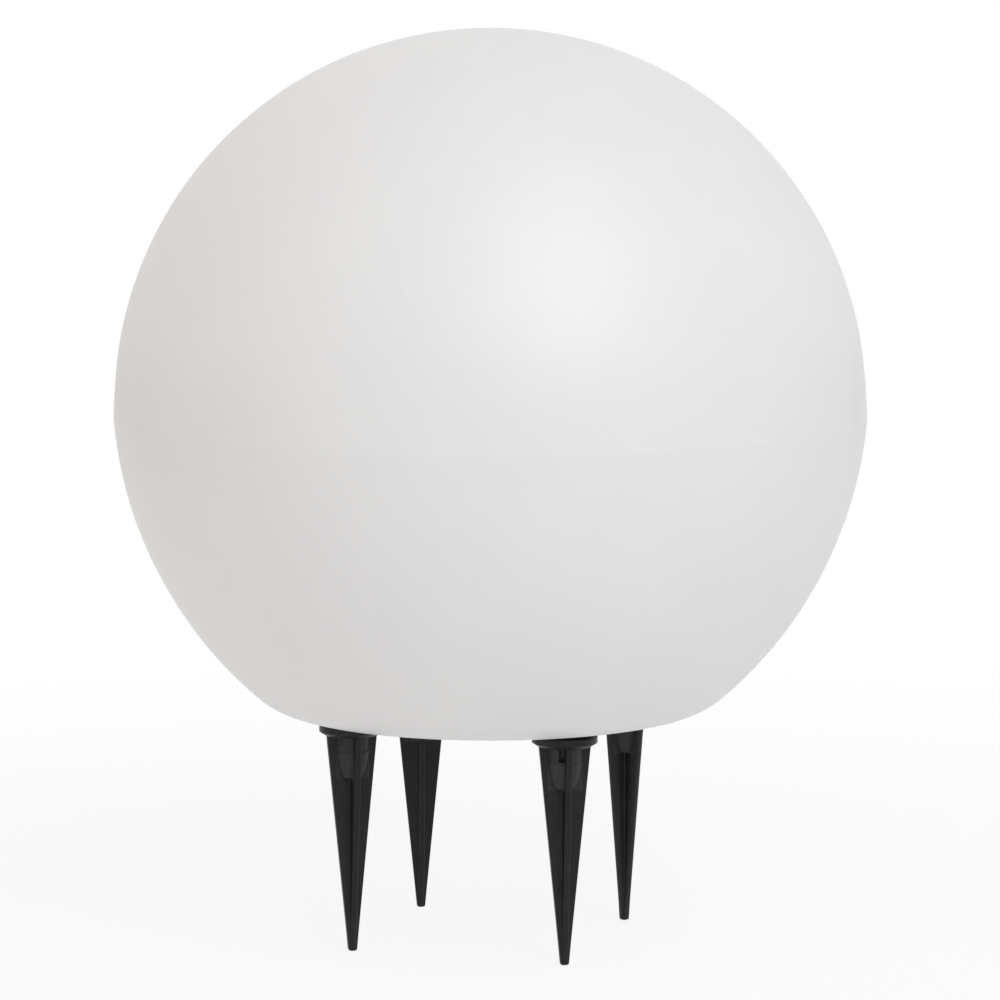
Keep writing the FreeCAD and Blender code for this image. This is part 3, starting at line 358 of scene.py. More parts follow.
class Tree:
    """A node tree whose nodes are made from a type, its settings and its values."""

    def __init__(self, node_tree):
        self.nodes = node_tree.nodes
        self.links = node_tree.links

    def node(self, kind, settings=None, values=None, out=0):
        made = self.nodes.new("ShaderNode" + kind)
        for name, setting in (settings or {}).items():
            setattr(made, name, setting)
        for name, value in (values or {}).items():
            self.put(made.inputs[name], value)
        return Signal(self, made.outputs[out])

    def put(self, socket, value):
        if isinstance(value, Signal):
            self.links.new(value.socket, socket)
        else:
            socket.default_value = value

    def place(self, stretch=None):
        """Where a point is on its piece, in metres, with its axes stretched if asked."""
        where = self.node("TexCoord", out="Object")
        if not stretch:
            return where
        return self.node("VectorMath", {"operation": "MULTIPLY"}, {0: where, 1: stretch})

    def cloud(self, per_metre, detail=2.0, stretch=None):
        """Even noise from about 0.2 to 0.8, so many spots to the metre."""
        return self.node("TexNoise", None, {"Vector": self.place(stretch), "Scale": per_metre,
                                            "Detail": detail, "Roughness": 0.55})

    def specks(self, per_metre, size):
        """1 in small scattered spots, 0 elsewhere; size is a share of the spacing."""
        near = self.node("TexVoronoi", None, {"Vector": self.place(), "Scale": per_metre})
        return 1 - near.between(size * 0.6, size)

    def blend(self, share, first, second):
        """Two colours mixed by a share."""
        return self.node("Mix", {"data_type": "RGBA"}, {0: share, 6: first, 7: second}, out=2)

    def bump(self, height, depth, under=None):
        """A relief of so many metres between heights 0 and 1."""
        values = {"Height": height, "Distance": depth, "Strength": 1.0}
        if under:
            values["Normal"] = under
        return self.node("Bump", None, values)


def grey(level, tint=0.0):
    """A neutral colour, a little warmer for a positive tint."""
    return (level * (1 + tint), level, level * (1 - tint), 1)


def uneven(level, spread, per_metre, detail=2.0):
    """A value that wanders by a spread above a level, so many times to the metre."""
    def made(tree):
        return level + spread * tree.cloud(per_metre, detail)
    return made


def finish(name, even, **varied):
    """A material: what is the same all over sits on the shader, the rest comes from functions."""
    material = bpy.data.materials.new(name)
    material.use_nodes = True
    shader = material.node_tree.nodes["Principled BSDF"]
    for socket, value in even.items():
        shader.inputs[socket].default_value = value
    tree = Tree(material.node_tree)
    for socket, made in varied.items():
        tree.put(shader.inputs[socket.replace("_", " ")], made(tree))
    return material


def coat(material, *names):
    """Gives CAD nodes their finish."""
    for name in names:
        nodes[name].data.materials.clear()
        nodes[name].data.materials.append(material)


def fit(thing, material, body, slot, *stands_for):
    """A made piece gets its finish and rides on its body in place of the plain nodes."""
    thing.data.materials.clear()
    thing.data.materials.append(material)
    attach(thing, body)
    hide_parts(*stands_for)


def ball_colour(tree):
    white = tree.blend(tree.cloud(9.0, 3.0).between(0.35, 0.7),
                       (0.852, 0.851, 0.856, 1), (0.87, 0.868, 0.866, 1))
    return tree.blend(tree.specks(28.0, 0.045) * 0.10, white, (0.55, 0.54, 0.53, 1))


def ball_roughness(tree):
    return 0.36 + 0.12 * tree.cloud(40.0, 4.0) + 0.05 * tree.cloud(260.0)


def ball_grain(tree):
    ripple = tree.bump(tree.cloud(55.0, 2.0), 0.10 * MM)
    return tree.bump(tree.cloud(1400.0, 3.0), 0.012 * MM, ripple)


BALL_POLYETHYLENE = finish(
    "ball_polyethylene",
    {"Subsurface Weight": 0.35, "Subsurface Radius": (0.9, 0.85, 0.8), "Subsurface Scale": 8 * MM,
     "Specular IOR Level": 0.9},
    Base_Color=ball_colour, Roughness=ball_roughness, Normal=ball_grain)
fit(ball, BALL_POLYETHYLENE, "globe", "ball_polyethylene", "globe_shell")

# ---- Brass inserts ----
# Turned M8 and M4 bushes, threaded inside and knurled outside, with a waist that the moulding
# grips. They sit in the ball's bosses and take the spikes' bolts and the cover's screws.

SPIKE_PITCH = 1.25 * MM
COVER_SCREW_PITCH = 0.7 * MM
INSERT_WAIST_R = 5.6 * MM
COVER_INSERT_WAIST_R = 3.0 * MM
INSERT_BORE_R = 4.05 * MM
COVER_INSERT_BORE_R = 2.05 * MM
KNURL_DEPTH = 0.3 * MM


def helix(pitch, depth, low, high, run_out=1.0, sharp=True):
    """Relief of a right-hand thread between two heights, fading over run_out turns at its ends."""
    def relief(angle, radius, z):
        inside_thread = min(1.0, max(0.0, min(z - low, high - z) / (pitch * run_out)))
        phase = (z / pitch - angle / TURN) % 1.0
        wave = abs(2 * phase - 1) if sharp else 0.5 - 0.5 * math.cos(TURN * phase)
        if sharp:
            wave = min(1.0, max(0.0, wave * 1.25 - 0.12))
        return radius - depth * wave * inside_thread, z
    return relief


def climb(radius, low, high, step):
    """Points straight up or down a cylinder, close enough together for a thread."""
    count = max(1, round(abs(high - low) / step))
    return [(radius, low + (high - low) * i / count) for i in range(count + 1)]


def join(name, things):
    """Several meshes as one object."""
    bm = bmesh.new()
    for thing in things:
        bm.from_mesh(thing.data)
        bpy.data.objects.remove(thing)
    mesh = bpy.data.meshes.new(name)
    bm.to_mesh(mesh)
    bm.free()
    joined = bpy.data.objects.new(name, mesh)
    bpy.context.scene.collection.objects.link(joined)
    return joined


def bush(radius, waist, length, bore, pitch, knurls):
    """One insert standing on height 0."""
    thread = helix(pitch, -0.5 * pitch, 0, length, 0.5)
    edge = 0.4 * MM

    def relief(angle, r, z):
        if r < bore * 1.01:
            return thread(angle, r, z)
        if r > radius * 0.999:
            return r - KNURL_DEPTH * abs(math.sin(knurls * angle / 2)), z
        return r, z
    outer = [(bore + edge, 0), (radius - edge, 0), (radius, edge), (radius, 0.4 * length),
             (waist, 0.4 * length), (waist, 0.65 * length), (radius, 0.65 * length),
             (radius, length - edge), (radius - edge, length), (bore + edge, length)]
    return lathe("tool", outer + climb(bore, length - edge, edge, pitch / 7), knurls * 4, relief, 40)


def brass_colour(tree):
    bright = tree.blend(tree.cloud(160.0, 4.0), (0.70, 0.50, 0.22, 1), (0.80, 0.62, 0.30, 1))
    return tree.blend(tree.cloud(60.0, 5.0).between(0.5, 0.75) * 0.5, bright, (0.36, 0.22, 0.09, 1))


def turned_lines(tree):
    return tree.bump(tree.cloud(90.0, 2.0, stretch=(1, 1, 40)), 0.01 * MM)


TURNED_ROUGHNESS = uneven(0.22, 0.2, 420.0, 3.0)
BRASS = finish("brass", {"Metallic": 1.0}, Base_Color=brass_colour, Normal=turned_lines,
               Roughness=TURNED_ROUGHNESS)
spike_bushes = join("spike_insert_set", [
    shift(bush(INSERT_R, INSERT_WAIST_R, INSERT_L, INSERT_BORE_R, SPIKE_PITCH, 36), p.x, p.y, BASE_Z)
    for p in SPIKE_PLACES.values()])
cover_bushes = join("cover_insert_set", [
    shift(bush(COVER_INSERT_R, COVER_INSERT_WAIST_R, COVER_INSERT_L, COVER_INSERT_BORE_R,
               COVER_SCREW_PITCH, 24), x, y, CEILING_Z) for x, y in COVER_PLACES])
fit(spike_bushes, BRASS, "globe", "brass", "spike_inserts")
fit(cover_bushes, BRASS, "globe", "brass", "cover_inserts")

# ---- Ground spikes ----
# Injection moulded in black polypropylene: a chamfered flange, a hub with a tapered cup round the
# head of an M8 bolt, and four fins to the tip. A rubber washer seals each against the base.

SPIKE_TURNS = {"front_left": 36, "front_right": -62, "rear_left": 113, "rear_right": 148}
WASHER_T = 3 * MM
FLANGE_R = 21.5 * MM
FLANGE_UNDER_R = 17.7 * MM
FLANGE_LOW = -WASHER_T - 7 * MM
CHAMFER_Z = FLANGE_LOW + 2.5 * MM
HUB_R = 11.2 * MM
LEDGE_Z = FLANGE_LOW - 10.3 * MM
CUP_R = 11.6 * MM
CUP_BELLY_R = 10.0 * MM
CUP_BELLY_Z = LEDGE_Z - 11.0 * MM
CUP_END_R = 7.3 * MM
CUP_END_Z = LEDGE_Z - 18.3 * MM
WINDOW_W = 4.0 * MM
WINDOW_DEPTH = 5.4 * MM
FIN_HALF = 2.0 * MM
FIN_TOP_R = 17.3 * MM
FIN_TIP_R = 2.7 * MM
FIN_EASING = 0.8 * MM
TIP_Z = -BASE_Z
TIP_ROUND = 1.5 * MM
BOLT_R = 4.0 * MM
BOLT_HEAD_Z = FLANGE_LOW - 1.5 * MM
BOLT_AF = 13.0 * MM
BOLT_HEAD_H = 5.3 * MM
BOLT_END_Z = 15.0 * MM
WASHER_R = 18.0 * MM
WASHER_BORE_R = 4.4 * MM
PIN_MARK_R = 1.5 * MM
PIN_MARK_DEPTH = 0.35 * MM
PIN_MARKS = ((-57 * MM, 7.7 * MM), (-105 * MM, 4.2 * MM))
HUB_MARK_TURN = -146
HUB_MARK_Z = -14.0 * MM


def cross_section(radius, half, easing, hollow, z):
    """Corners of a four-finned cross, its outer edges eased and its inner corners filled."""
    one = arc((radius - easing, easing - half), easing, -90, 0, 3)
    one += arc((radius - easing, half - easing), easing, 0, 90, 3)
    one += arc((half + hollow, half + hollow), hollow, 270, 180, 3)
    points = []
    for k in range(4):
        turn = Matrix.Rotation(math.radians(90 * k), 4, "Z")
        points += [turn @ Vector((x, y, z)) for x, y in one]
    return points


def fins():
    """The four fins, straight tapered to the tip, where they end in a blunt rounded point."""
    sections = []
    top = FLANGE_LOW + 0.5 * MM
    for i in range(13):
        share = i / 12
        z = top + (TIP_Z + TIP_ROUND - top) * share
        radius = FIN_TOP_R + (FIN_TIP_R - FIN_TOP_R) * (z - top) / (TIP_Z - top)
        room = radius - FIN_HALF
        easing = min(FIN_EASING, room * 0.45)
        sections.append(cross_section(radius, FIN_HALF, easing, min(0.9 * MM, room * 0.3), z))
    last = sections[-1]
    for i in range(1, 6):
        angle = math.radians(18 * i)
        shrink = 1 - (1 - math.cos(angle)) * TIP_ROUND / FIN_TIP_R
        drop = TIP_ROUND * math.sin(angle)
        sections.append([Vector((p.x * shrink, p.y * shrink, p.z - drop)) for p in last])
    return loft("tool", sections)


def hexagon(across_flats, low, high, ease=0.0):
    """A hexagon prism, its corners turned off by ease at both ends if asked."""
    corner = across_flats / math.sqrt(3)
    ring = arc((0, 0), corner, 0, 300, 5)
    prism = loft("tool", [[Vector((x, y, z)) for x, y in ring] for z in (low, high)], 20)
    if ease:
        barrel = lathe("tool", [(0, low), (corner - ease, low), (corner, low + ease * 0.6),
                                (corner, high - ease * 0.6), (corner - ease, high), (0, high)], 72)
        carve(prism, [barrel], "INTERSECT", 20)
    return prism


def outward(tool, radius, z, turn=0.0):
    """Lays an upright tool down so that its height points out from the axis, at a radius."""
    tool.data.transform(Matrix.Translation((radius, 0, z)) @ Matrix.Rotation(math.pi / 2, 4, "Y"))
    return shift(tool, turn=turn)


def pin_mark(x_face, y, z):
    """A shallow disc that an ejector pin leaves on a face looking along +X."""
    disc = outward(rod(PIN_MARK_R, -PIN_MARK_DEPTH, 2 * MM, around=24), x_face, z)
    return shift(disc, y=y)


def spike_mesh():
    """One spike about its own axis, with the ball's base plane at height 0."""
    body = lathe("spike_moulding", rounded(
        (0, -WASHER_T, 0), (FLANGE_R, -WASHER_T, 0.6 * MM), (FLANGE_R, CHAMFER_Z, 0.35 * MM),
        (FLANGE_UNDER_R, FLANGE_LOW, 0.3 * MM), (HUB_R + 0.3 * MM, FLANGE_LOW, 0.8 * MM),
        (HUB_R, LEDGE_Z, 0.3 * MM), (CUP_R, LEDGE_Z - 0.8 * MM, 0.25 * MM),
        (CUP_BELLY_R, CUP_BELLY_Z, 30 * MM), (CUP_END_R, CUP_END_Z, 2.0 * MM),
        (0, CUP_END_Z, 0), steps=4), 96)
    carve(body, [fins()], "UNION")
    tools = [brick(HUB_R - WINDOW_DEPTH, HUB_R + 2 * MM, -FIN_HALF - WINDOW_W, -FIN_HALF,
                   LEDGE_Z + 0.8 * MM, FLANGE_LOW - 0.4 * MM)]
    tools += [hexagon(BOLT_AF + 0.2 * MM, BOLT_HEAD_Z - BOLT_HEAD_H - 0.1 * MM, BOLT_HEAD_Z + 0.05 * MM)]
    tools += [rod(BOLT_R, BOLT_HEAD_Z - MM, 0)]
    for z, y in PIN_MARKS:
        tools += [pin_mark(FIN_HALF, side * y, z) for side in (1, -1)]
    groove = [(1.3 * MM, -0.6 * MM), (1.7 * MM, -0.6 * MM), (1.75 * MM, 2 * MM), (1.25 * MM, 2 * MM)]
    tools += [outward(lathe("tool", groove, 28), HUB_R, HUB_MARK_Z, HUB_MARK_TURN)]
    gate = lathe("tool", [(0, -0.5 * MM), (0.7 * MM, -0.5 * MM), (0.8 * MM, MM), (0, MM)], 20)
    gate.data.transform(Matrix.Translation((20.2 * MM, 0, CHAMFER_Z - 0.9 * MM)) @
                        Matrix.Rotation(math.radians(145), 4, "Y"))
    carve(body, tools + [gate])
    return body


def on_hub(tree):
    """1 on the hub and its cup, and 0 on the fins; it paints the hub paler, a painted highlight for the key
    light that the rounder hub catches, and makes it rougher.
    """
    share = tree.node("TexCoord", out="Generated")
    aside = tree.node("VectorMath", {"operation": "MULTIPLY_ADD"},
                      {0: share, 1: (1, 1, 0), 2: (-0.5, -0.5, 0)})
    off_axis = tree.node("VectorMath", {"operation": "LENGTH"}, {0: aside}, out="Value")
    height = tree.node("SeparateXYZ", None, {0: share}, out="Z")
    foot = (CUP_END_Z - TIP_Z - MM) / (-WASHER_T - TIP_Z)
    hub = (CUP_R + 0.2 * MM) / (2 * FLANGE_R)
    return (1 - off_axis.between(hub - 0.002, hub + 0.002)) * height.between(foot, foot + 0.002)


def spike_colour_with_painted_hub_light(tree):
    black = tree.blend(tree.cloud(70.0, 4.0).between(0.35, 0.7),
                       (0.008, 0.008, 0.009, 1), (0.013, 0.013, 0.0145, 1))
    streaks = tree.cloud(260.0, 3.0, stretch=(1, 1, 0.06)).between(0.5, 0.8)
    # The paler black on the hub and cup is a painted highlight, the same plastic as the fins.
    pale = tree.blend(streaks * 0.5, (0.030, 0.031, 0.034, 1), (0.046, 0.047, 0.052, 1))
    return tree.blend(on_hub(tree), tree.blend(streaks * 0.3, black, (0.024, 0.024, 0.026, 1)), pale)


def spike_roughness(tree):
    return 0.30 + 0.16 * tree.cloud(120.0, 4.0) + 0.2 * on_hub(tree)


def spike_grain(tree):
    flow = tree.bump(tree.cloud(240.0, 2.0, stretch=(1, 1, 0.08)), 0.04 * MM)
    return tree.bump(tree.cloud(2600.0, 2.0), 0.012 * MM, flow)


SPIKE_PLASTIC = finish("spike_plastic", {"Specular IOR Level": 0.25}, Base_Color=spike_colour_with_painted_hub_light,
                       Roughness=spike_roughness, Normal=spike_grain)


def bolt_mesh():
    """M8 hexagon bolt: its head in the hub, its thread up through the washer into the insert."""
    thread = helix(SPIKE_PITCH, 0.72 * MM, -WASHER_T - 1.0 * MM, BOLT_END_Z - 0.4 * MM)
    climbing = climb(BOLT_R, BOLT_HEAD_Z, BOLT_END_Z - MM, 0.18 * MM)
    shank = lathe("spike_bolt_mesh", [(0, BOLT_HEAD_Z)] + climbing
                  + [(BOLT_R - 0.9 * MM, BOLT_END_Z), (0, BOLT_END_Z)], 48, thread, 60)
    head = hexagon(BOLT_AF, BOLT_HEAD_Z - BOLT_HEAD_H, BOLT_HEAD_Z + 0.01 * MM, 0.9 * MM)
    return carve(shank, [head], "UNION", 40)


def washer_mesh():
    return lathe("washer_mesh", rounded(
        (WASHER_BORE_R, -WASHER_T, 0.4 * MM), (WASHER_R, -WASHER_T, 0.9 * MM), (WASHER_R, 0, 0.9 * MM),
        (WASHER_BORE_R, 0, 0.4 * MM)), 72)


def steel_colour(tree):
    return tree.blend(tree.cloud(300.0, 3.0), (0.52, 0.53, 0.54, 1), (0.66, 0.67, 0.68, 1))


def rubber_colour(tree):
    return tree.blend(tree.cloud(90.0, 4.0).between(0.45, 0.75),
                      (0.022, 0.022, 0.022, 1), (0.045, 0.044, 0.042, 1))


def rubber_grain(tree):
    return tree.bump(tree.cloud(1500.0, 4.0), 0.02 * MM)


SCREW_STEEL = finish("screw_steel", {"Metallic": 1.0}, Base_Color=steel_colour, Normal=turned_lines,
                     Roughness=TURNED_ROUGHNESS)
# The bolt's steel is darkened to near black: painted shade, so that its head in the hub's window reads as
# in shadow.
SHADED_BOLT_STEEL = finish("bolt_steel_painted_shade", {"Metallic": 1.0}, Normal=turned_lines,
                    Base_Color=lambda tree: tree.blend(tree.cloud(200.0, 4.0), grey(0.06), grey(0.12)),
                    Roughness=uneven(0.5, 0.2, 420.0, 3.0))
SEAL_RUBBER = finish("seal_rubber", {"Specular IOR Level": 0.3}, Base_Color=rubber_colour,
                     Normal=rubber_grain, Roughness=uneven(0.68, 0.2, 200.0))

patterns = {"spike": (spike_mesh(), SPIKE_PLASTIC, "spike_", "spike_plastic"),
            "spike_bolt": (bolt_mesh(), SHADED_BOLT_STEEL, "spike_", "screw_steel"),
            "spike_washer": (washer_mesh(), SEAL_RUBBER, "washer_", "seal_rubber")}
for kind, (pattern, material, body, slot) in patterns.items():
    for spike_name, place in SPIKE_PLACES.items():
        copy = bpy.data.objects.new("ground_" + kind + "_" + spike_name, pattern.data.copy())
        bpy.context.scene.collection.objects.link(copy)
        shift(copy, place.x, place.y, BASE_Z, SPIKE_TURNS[spike_name])
        fit(copy, material, body + spike_name, slot, kind + "_" + spike_name)
    bpy.data.objects.remove(pattern)

# ---- Base cover ----
# A round cover in satin white ABS that closes the recess: finger rim, radial ribs and gland boss
# below, and above a spigot that centres it in the neck. A flat rubber seal lies round the spigot.

cover_low, cover_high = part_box("base_cover")
seal_low, seal_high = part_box("cover_seal")
COVER_R = cover_high.x
COVER_TOP = seal_low.z
COVER_LOW = COVER_TOP - 4.0 * MM
GLAND_SEAT = COVER_LOW - 6.0 * MM
GLAND_BOSS_R = 15.0 * MM
RIM_IN_R = COVER_R - 2.2 * MM
RIB_HALF = 1.0 * MM
RIB_LOW = COVER_LOW - 5.0 * MM
FOOT_SCREW_X = 29.0 * MM
FOOT_SCREW_HOLE_R = 1.75 * MM
COVER_SCREW_HOLE_R = 2.25 * MM
GLAND_HOLE_R = 8.1 * MM
SPIGOT_R = 46.5 * MM
SPIGOT_IN_R = 44.0 * MM
EJECTOR_R = 2.5 * MM
EJECTOR_PITCH_R = 38.0 * MM


def rib(turn):
    """One rib from the gland boss to the rim, drafted, with a rounded edge below."""
    face = rounded((-RIB_HALF, COVER_LOW + MM, 0), (-RIB_HALF, RIB_LOW, 0.5 * MM),
                   (RIB_HALF, RIB_LOW, 0.5 * MM), (RIB_HALF, COVER_LOW + MM, 0), steps=3)
    return shift(drawn("tool", face, GLAND_BOSS_R - MM, RIM_IN_R + MM), turn=turn)


def cover_mesh():
    body = lathe("cover_moulding", rounded(
        (GLAND_HOLE_R, GLAND_SEAT, 0.3 * MM), (GLAND_BOSS_R, GLAND_SEAT, 0.8 * MM),
        (GLAND_BOSS_R, COVER_LOW, 0.8 * MM), (RIM_IN_R, COVER_LOW, 0.8 * MM),
        (RIM_IN_R, cover_low.z, 0.8 * MM), (COVER_R, cover_low.z, 0.8 * MM),
        (COVER_R, COVER_TOP, 1.0 * MM), (SPIGOT_R, COVER_TOP, 0.4 * MM),
        (SPIGOT_R, cover_high.z, 0.6 * MM), (SPIGOT_IN_R, cover_high.z, 0.6 * MM),
        (SPIGOT_IN_R, COVER_TOP, 0.4 * MM), (GLAND_HOLE_R, COVER_TOP, 0.3 * MM)), 192)
    pads = [rod(4.0 * MM, RIB_LOW, COVER_LOW + MM, side * FOOT_SCREW_X) for side in (1, -1)]
    carve(body, [rib(22.5 + 45 * i) for i in range(8)] + pads, "UNION")
    holes = [rod(COVER_SCREW_HOLE_R, GLAND_SEAT, COVER_TOP + MM, x, y, 32) for x, y in COVER_PLACES]
    holes += [rod(FOOT_SCREW_HOLE_R, RIB_LOW - MM, COVER_TOP + MM, side * FOOT_SCREW_X, 0, 32)
              for side in (1, -1)]
    marks = [rod(EJECTOR_R, RIB_LOW, COVER_LOW + 0.25 * MM, EJECTOR_PITCH_R * math.cos(a),
                 EJECTOR_PITCH_R * math.sin(a), 32) for a in (math.radians(90 * i) for i in range(4))]
    return carve(body, holes + marks)


def ring(name, radius, bore, low, high, easing):
    """A flat ring with rounded edges."""
    return lathe(name, rounded((bore, low, easing), (radius, low, easing), (radius, high, easing),
                               (bore, high, easing), steps=3), 144)


def satin_colour(level):
    def made(tree):
        return tree.blend(tree.cloud(14.0, 3.0), grey(level), grey(level * 0.94, 0.012))
    return made


def satin_grain(tree):
    return tree.bump(tree.cloud(1800.0, 2.0), 0.010 * MM, tree.bump(tree.cloud(60.0), 0.05 * MM))


COVER_PLASTIC = finish("cover_plastic", {}, Base_Color=satin_colour(0.80), Normal=satin_grain,
                       Roughness=uneven(0.40, 0.12, 50.0, 3.0))
fit(cover_mesh(), COVER_PLASTIC, "lamp_unit", "cover_plastic", "base_cover")
fit(ring("cover_sealing_ring", seal_high.x, 49.5 * MM, seal_low.z, seal_high.z, 0.4 * MM), SEAL_RUBBER,
    "lamp_unit", "seal_rubber", "cover_seal")

# ---- Cover screws ----
# Four M4 stainless screws with button heads and hexagon sockets, from below into the inserts.

screws_low, screws_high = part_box("cover_screws")
SCREW_HEAD_Z = screws_low.z + 2.6 * MM
SCREW_HEAD_R = 3.6 * MM
SCREW_R = 2.0 * MM


def cover_screw():
    """One screw about its own axis, its head below the plate."""
    low, high = screws_low.z, screws_high.z
    thread = helix(COVER_SCREW_PITCH, 0.38 * MM, SCREW_HEAD_Z + 2.5 * MM, high)
    body = lathe("tool", rounded(
        (0, low, 0), (SCREW_HEAD_R, low, 1.5 * MM), (SCREW_HEAD_R, SCREW_HEAD_Z, 0.2 * MM),
        (SCREW_R, SCREW_HEAD_Z, 0)) + climb(SCREW_R, SCREW_HEAD_Z + 0.1 * MM, high - 0.5 * MM, 0.1 * MM)
        + [(SCREW_R - 0.5 * MM, high), (0, high)], 36, thread, 60)
    return carve(body, [hexagon(2.5 * MM, low - MM, low + 1.5 * MM)], crease=40)


screws = join("cover_screw_set", [shift(cover_screw(), x, y) for x, y in COVER_PLACES])
fit(screws, SCREW_STEEL, "lamp_unit", "screw_steel", "cover_screws")

# ---- Cable gland ----
# A black nylon M16 gland: threaded body through the cover with its rubber washer, a locknut above,
# and a domed cap nut below that squeezes a seal ring round the cable.

washer_low, washer_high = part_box("gland_washer")
gland_low, gland_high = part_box("gland_body")
grip_low, grip_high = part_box("gland_seal")
nut_low, nut_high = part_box("gland_nut")
locknut_low, locknut_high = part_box("gland_locknut")
GLAND_HEX_TOP = washer_low.z
GLAND_HEX_LOW = GLAND_HEX_TOP - 5.0 * MM
GLAND_AF = 20.0 * MM
GLAND_THREAD_R = 7.95 * MM
GLAND_BORE_R = 5.0 * MM
GLAND_PITCH = 1.5 * MM


def gland_body_mesh():
    upper = helix(GLAND_PITCH, 0.75 * MM, GLAND_HEX_TOP + MM, gland_high.z)
    lower = helix(GLAND_PITCH, 0.75 * MM, gland_low.z, GLAND_HEX_LOW - MM)

    def relief(angle, r, z):
        return upper(angle, r, z) if z > GLAND_HEX_TOP else lower(angle, r, z)
    edge = 0.5 * MM
    barrel = [(0, gland_low.z), (GLAND_THREAD_R - edge, gland_low.z)]
    barrel += climb(GLAND_THREAD_R, gland_low.z + edge, GLAND_HEX_LOW, 0.2 * MM)
    barrel += climb(GLAND_THREAD_R, GLAND_HEX_TOP, gland_high.z - edge, 0.2 * MM)
    barrel += [(GLAND_THREAD_R - edge, gland_high.z), (0, gland_high.z)]
    body = lathe("gland_threaded_body", barrel, 72, relief, 50)
    carve(body, [hexagon(GLAND_AF, GLAND_HEX_LOW, GLAND_HEX_TOP, 0.9 * MM)], "UNION", 45)
    return carve(body, [rod(GLAND_BORE_R, gland_low.z - MM, gland_high.z + MM),
                        rod(6.6 * MM, gland_low.z - MM, grip_high.z)], crease=45)


def gland_nut_mesh():
    """The domed cap nut, with its hexagon running out on the dome."""
    corner = GLAND_AF / math.sqrt(3)
    dome = lathe("tool", rounded(
        (0, nut_low.z, 0), (7.0 * MM, nut_low.z, 2.0 * MM), (corner, nut_low.z + 7 * MM, 3.0 * MM),
        (corner, nut_high.z, 0.8 * MM), (0, nut_high.z, 0)), 96)
    body = hexagon(GLAND_AF, nut_low.z, nut_high.z)
    carve(body, [dome], "INTERSECT", 30)
    return carve(body, [rod(8.0 * MM, gland_low.z, nut_high.z + MM),
                        rod(GLAND_BORE_R, nut_low.z - MM, nut_high.z)], crease=30)


def gland_grip_mesh():
    """The seal ring, ribbed inside where it grips the cable."""
    bore = []
    for i in range(13):
        share = i / 12
        crest = 0.4 * MM * (0.5 - 0.5 * math.cos(3 * TURN * share))
        bore.append((3.5 * MM + crest, grip_high.z + (grip_low.z - grip_high.z) * share))
    outer = [(grip_high.x - 0.5 * MM, grip_low.z), (grip_high.x, grip_low.z + 0.5 * MM),
             (grip_high.x, grip_high.z - 0.5 * MM), (grip_high.x - 0.5 * MM, grip_high.z)]
    return lathe("gland_seal_ring", outer + bore, 72)


def black_plastic(level):
    def made(tree):
        return tree.blend(tree.cloud(110.0, 4.0).between(0.4, 0.7), grey(level), grey(level * 1.4))
    return made


GLAND_PLASTIC = finish("gland_plastic", {}, Base_Color=black_plastic(0.028), Normal=satin_grain,
                       Roughness=uneven(0.34, 0.14, 140.0, 3.0))
locknut = carve(hexagon(19 * MM, locknut_low.z, locknut_high.z, 1.0 * MM),
                [rod(8.0 * MM, locknut_low.z - MM, locknut_high.z + MM)])
locknut.name = "gland_locking_nut"
nut = gland_nut_mesh()
nut.name = "gland_cap_nut"
fit(gland_body_mesh(), GLAND_PLASTIC, "lamp_unit", "gland_plastic", "gland_body")
fit(locknut, GLAND_PLASTIC, "lamp_unit", "gland_plastic", "gland_locknut")
fit(nut, GLAND_PLASTIC, "lamp_unit", "gland_plastic", "gland_nut")
fit(ring("gland_washer_ring", 10.5 * MM, 8.0 * MM, washer_low.z, washer_high.z, 0.4 * MM), SEAL_RUBBER,
    "lamp_unit", "seal_rubber", "gland_washer")
fit(gland_grip_mesh(), SEAL_RUBBER, "lamp_unit", "seal_rubber", "gland_seal")

# ---- Terminals and leads ----
# A two-pole connector strip: brass wire tubes in a natural nylon block, each wire held by two
# grub screws. Brown and blue stranded leads run from it up through the nipple to the holder.

block_low, block_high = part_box("terminal_block")
tubes_low, tubes_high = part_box("terminal_tubes")
grub_low, grub_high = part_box("terminal_screws")
fixing_low, fixing_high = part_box("terminal_fixing_screw")
POLE_X = 4.0 * MM
GRUB_Y = (block_low.y + 4.0 * MM, block_high.y - 4.0 * MM)
WIRE_Z = (tubes_low.z + tubes_high.z) / 2
FIXING_SEAT = block_low.z + 5.0 * MM
TUBE_R = 2.2 * MM
WIRE_R = 1.2 * MM
GRUB_R = 1.0 * MM


def wire_rod(radius, x, over=0.0):
    """A short-lived round tool along a pole of the block."""
    tool = rod(radius, block_low.y - over, block_high.y + over, around=36)
    tool.data.transform(Matrix.Rotation(-math.pi / 2, 4, "X"))
    return shift(tool, x, 0, WIRE_Z)


def terminal_mesh():
    half = block_high.x
    shoulder = WIRE_Z + 2.5 * MM
    low, high = block_low.z, block_high.z
    body = drawn("terminal_moulding", rounded(
        (-half, low, 0), (half, low, 0), (half, shoulder, MM), (6.6 * MM, high, MM), (1.4 * MM, high, MM),
        (1.4 * MM, FIXING_SEAT, 0.2 * MM), (-1.4 * MM, FIXING_SEAT, 0.2 * MM), (-1.4 * MM, high, MM),
        (-6.6 * MM, high, MM), (-half, shoulder, MM), steps=4), block_low.y, block_high.y)
    ease(body, 0.3 * MM)
    holes = [wire_rod(TUBE_R, side * POLE_X, MM) for side in (1, -1)]
    holes += [rod(1.5 * MM, WIRE_Z, high + MM, side * POLE_X, y, 32) for side in (1, -1) for y in GRUB_Y]
    holes += [rod(1.2 * MM, low - MM, FIXING_SEAT + MM, 0, (block_low.y + block_high.y) / 2, 24)]
    return carve(body, holes)


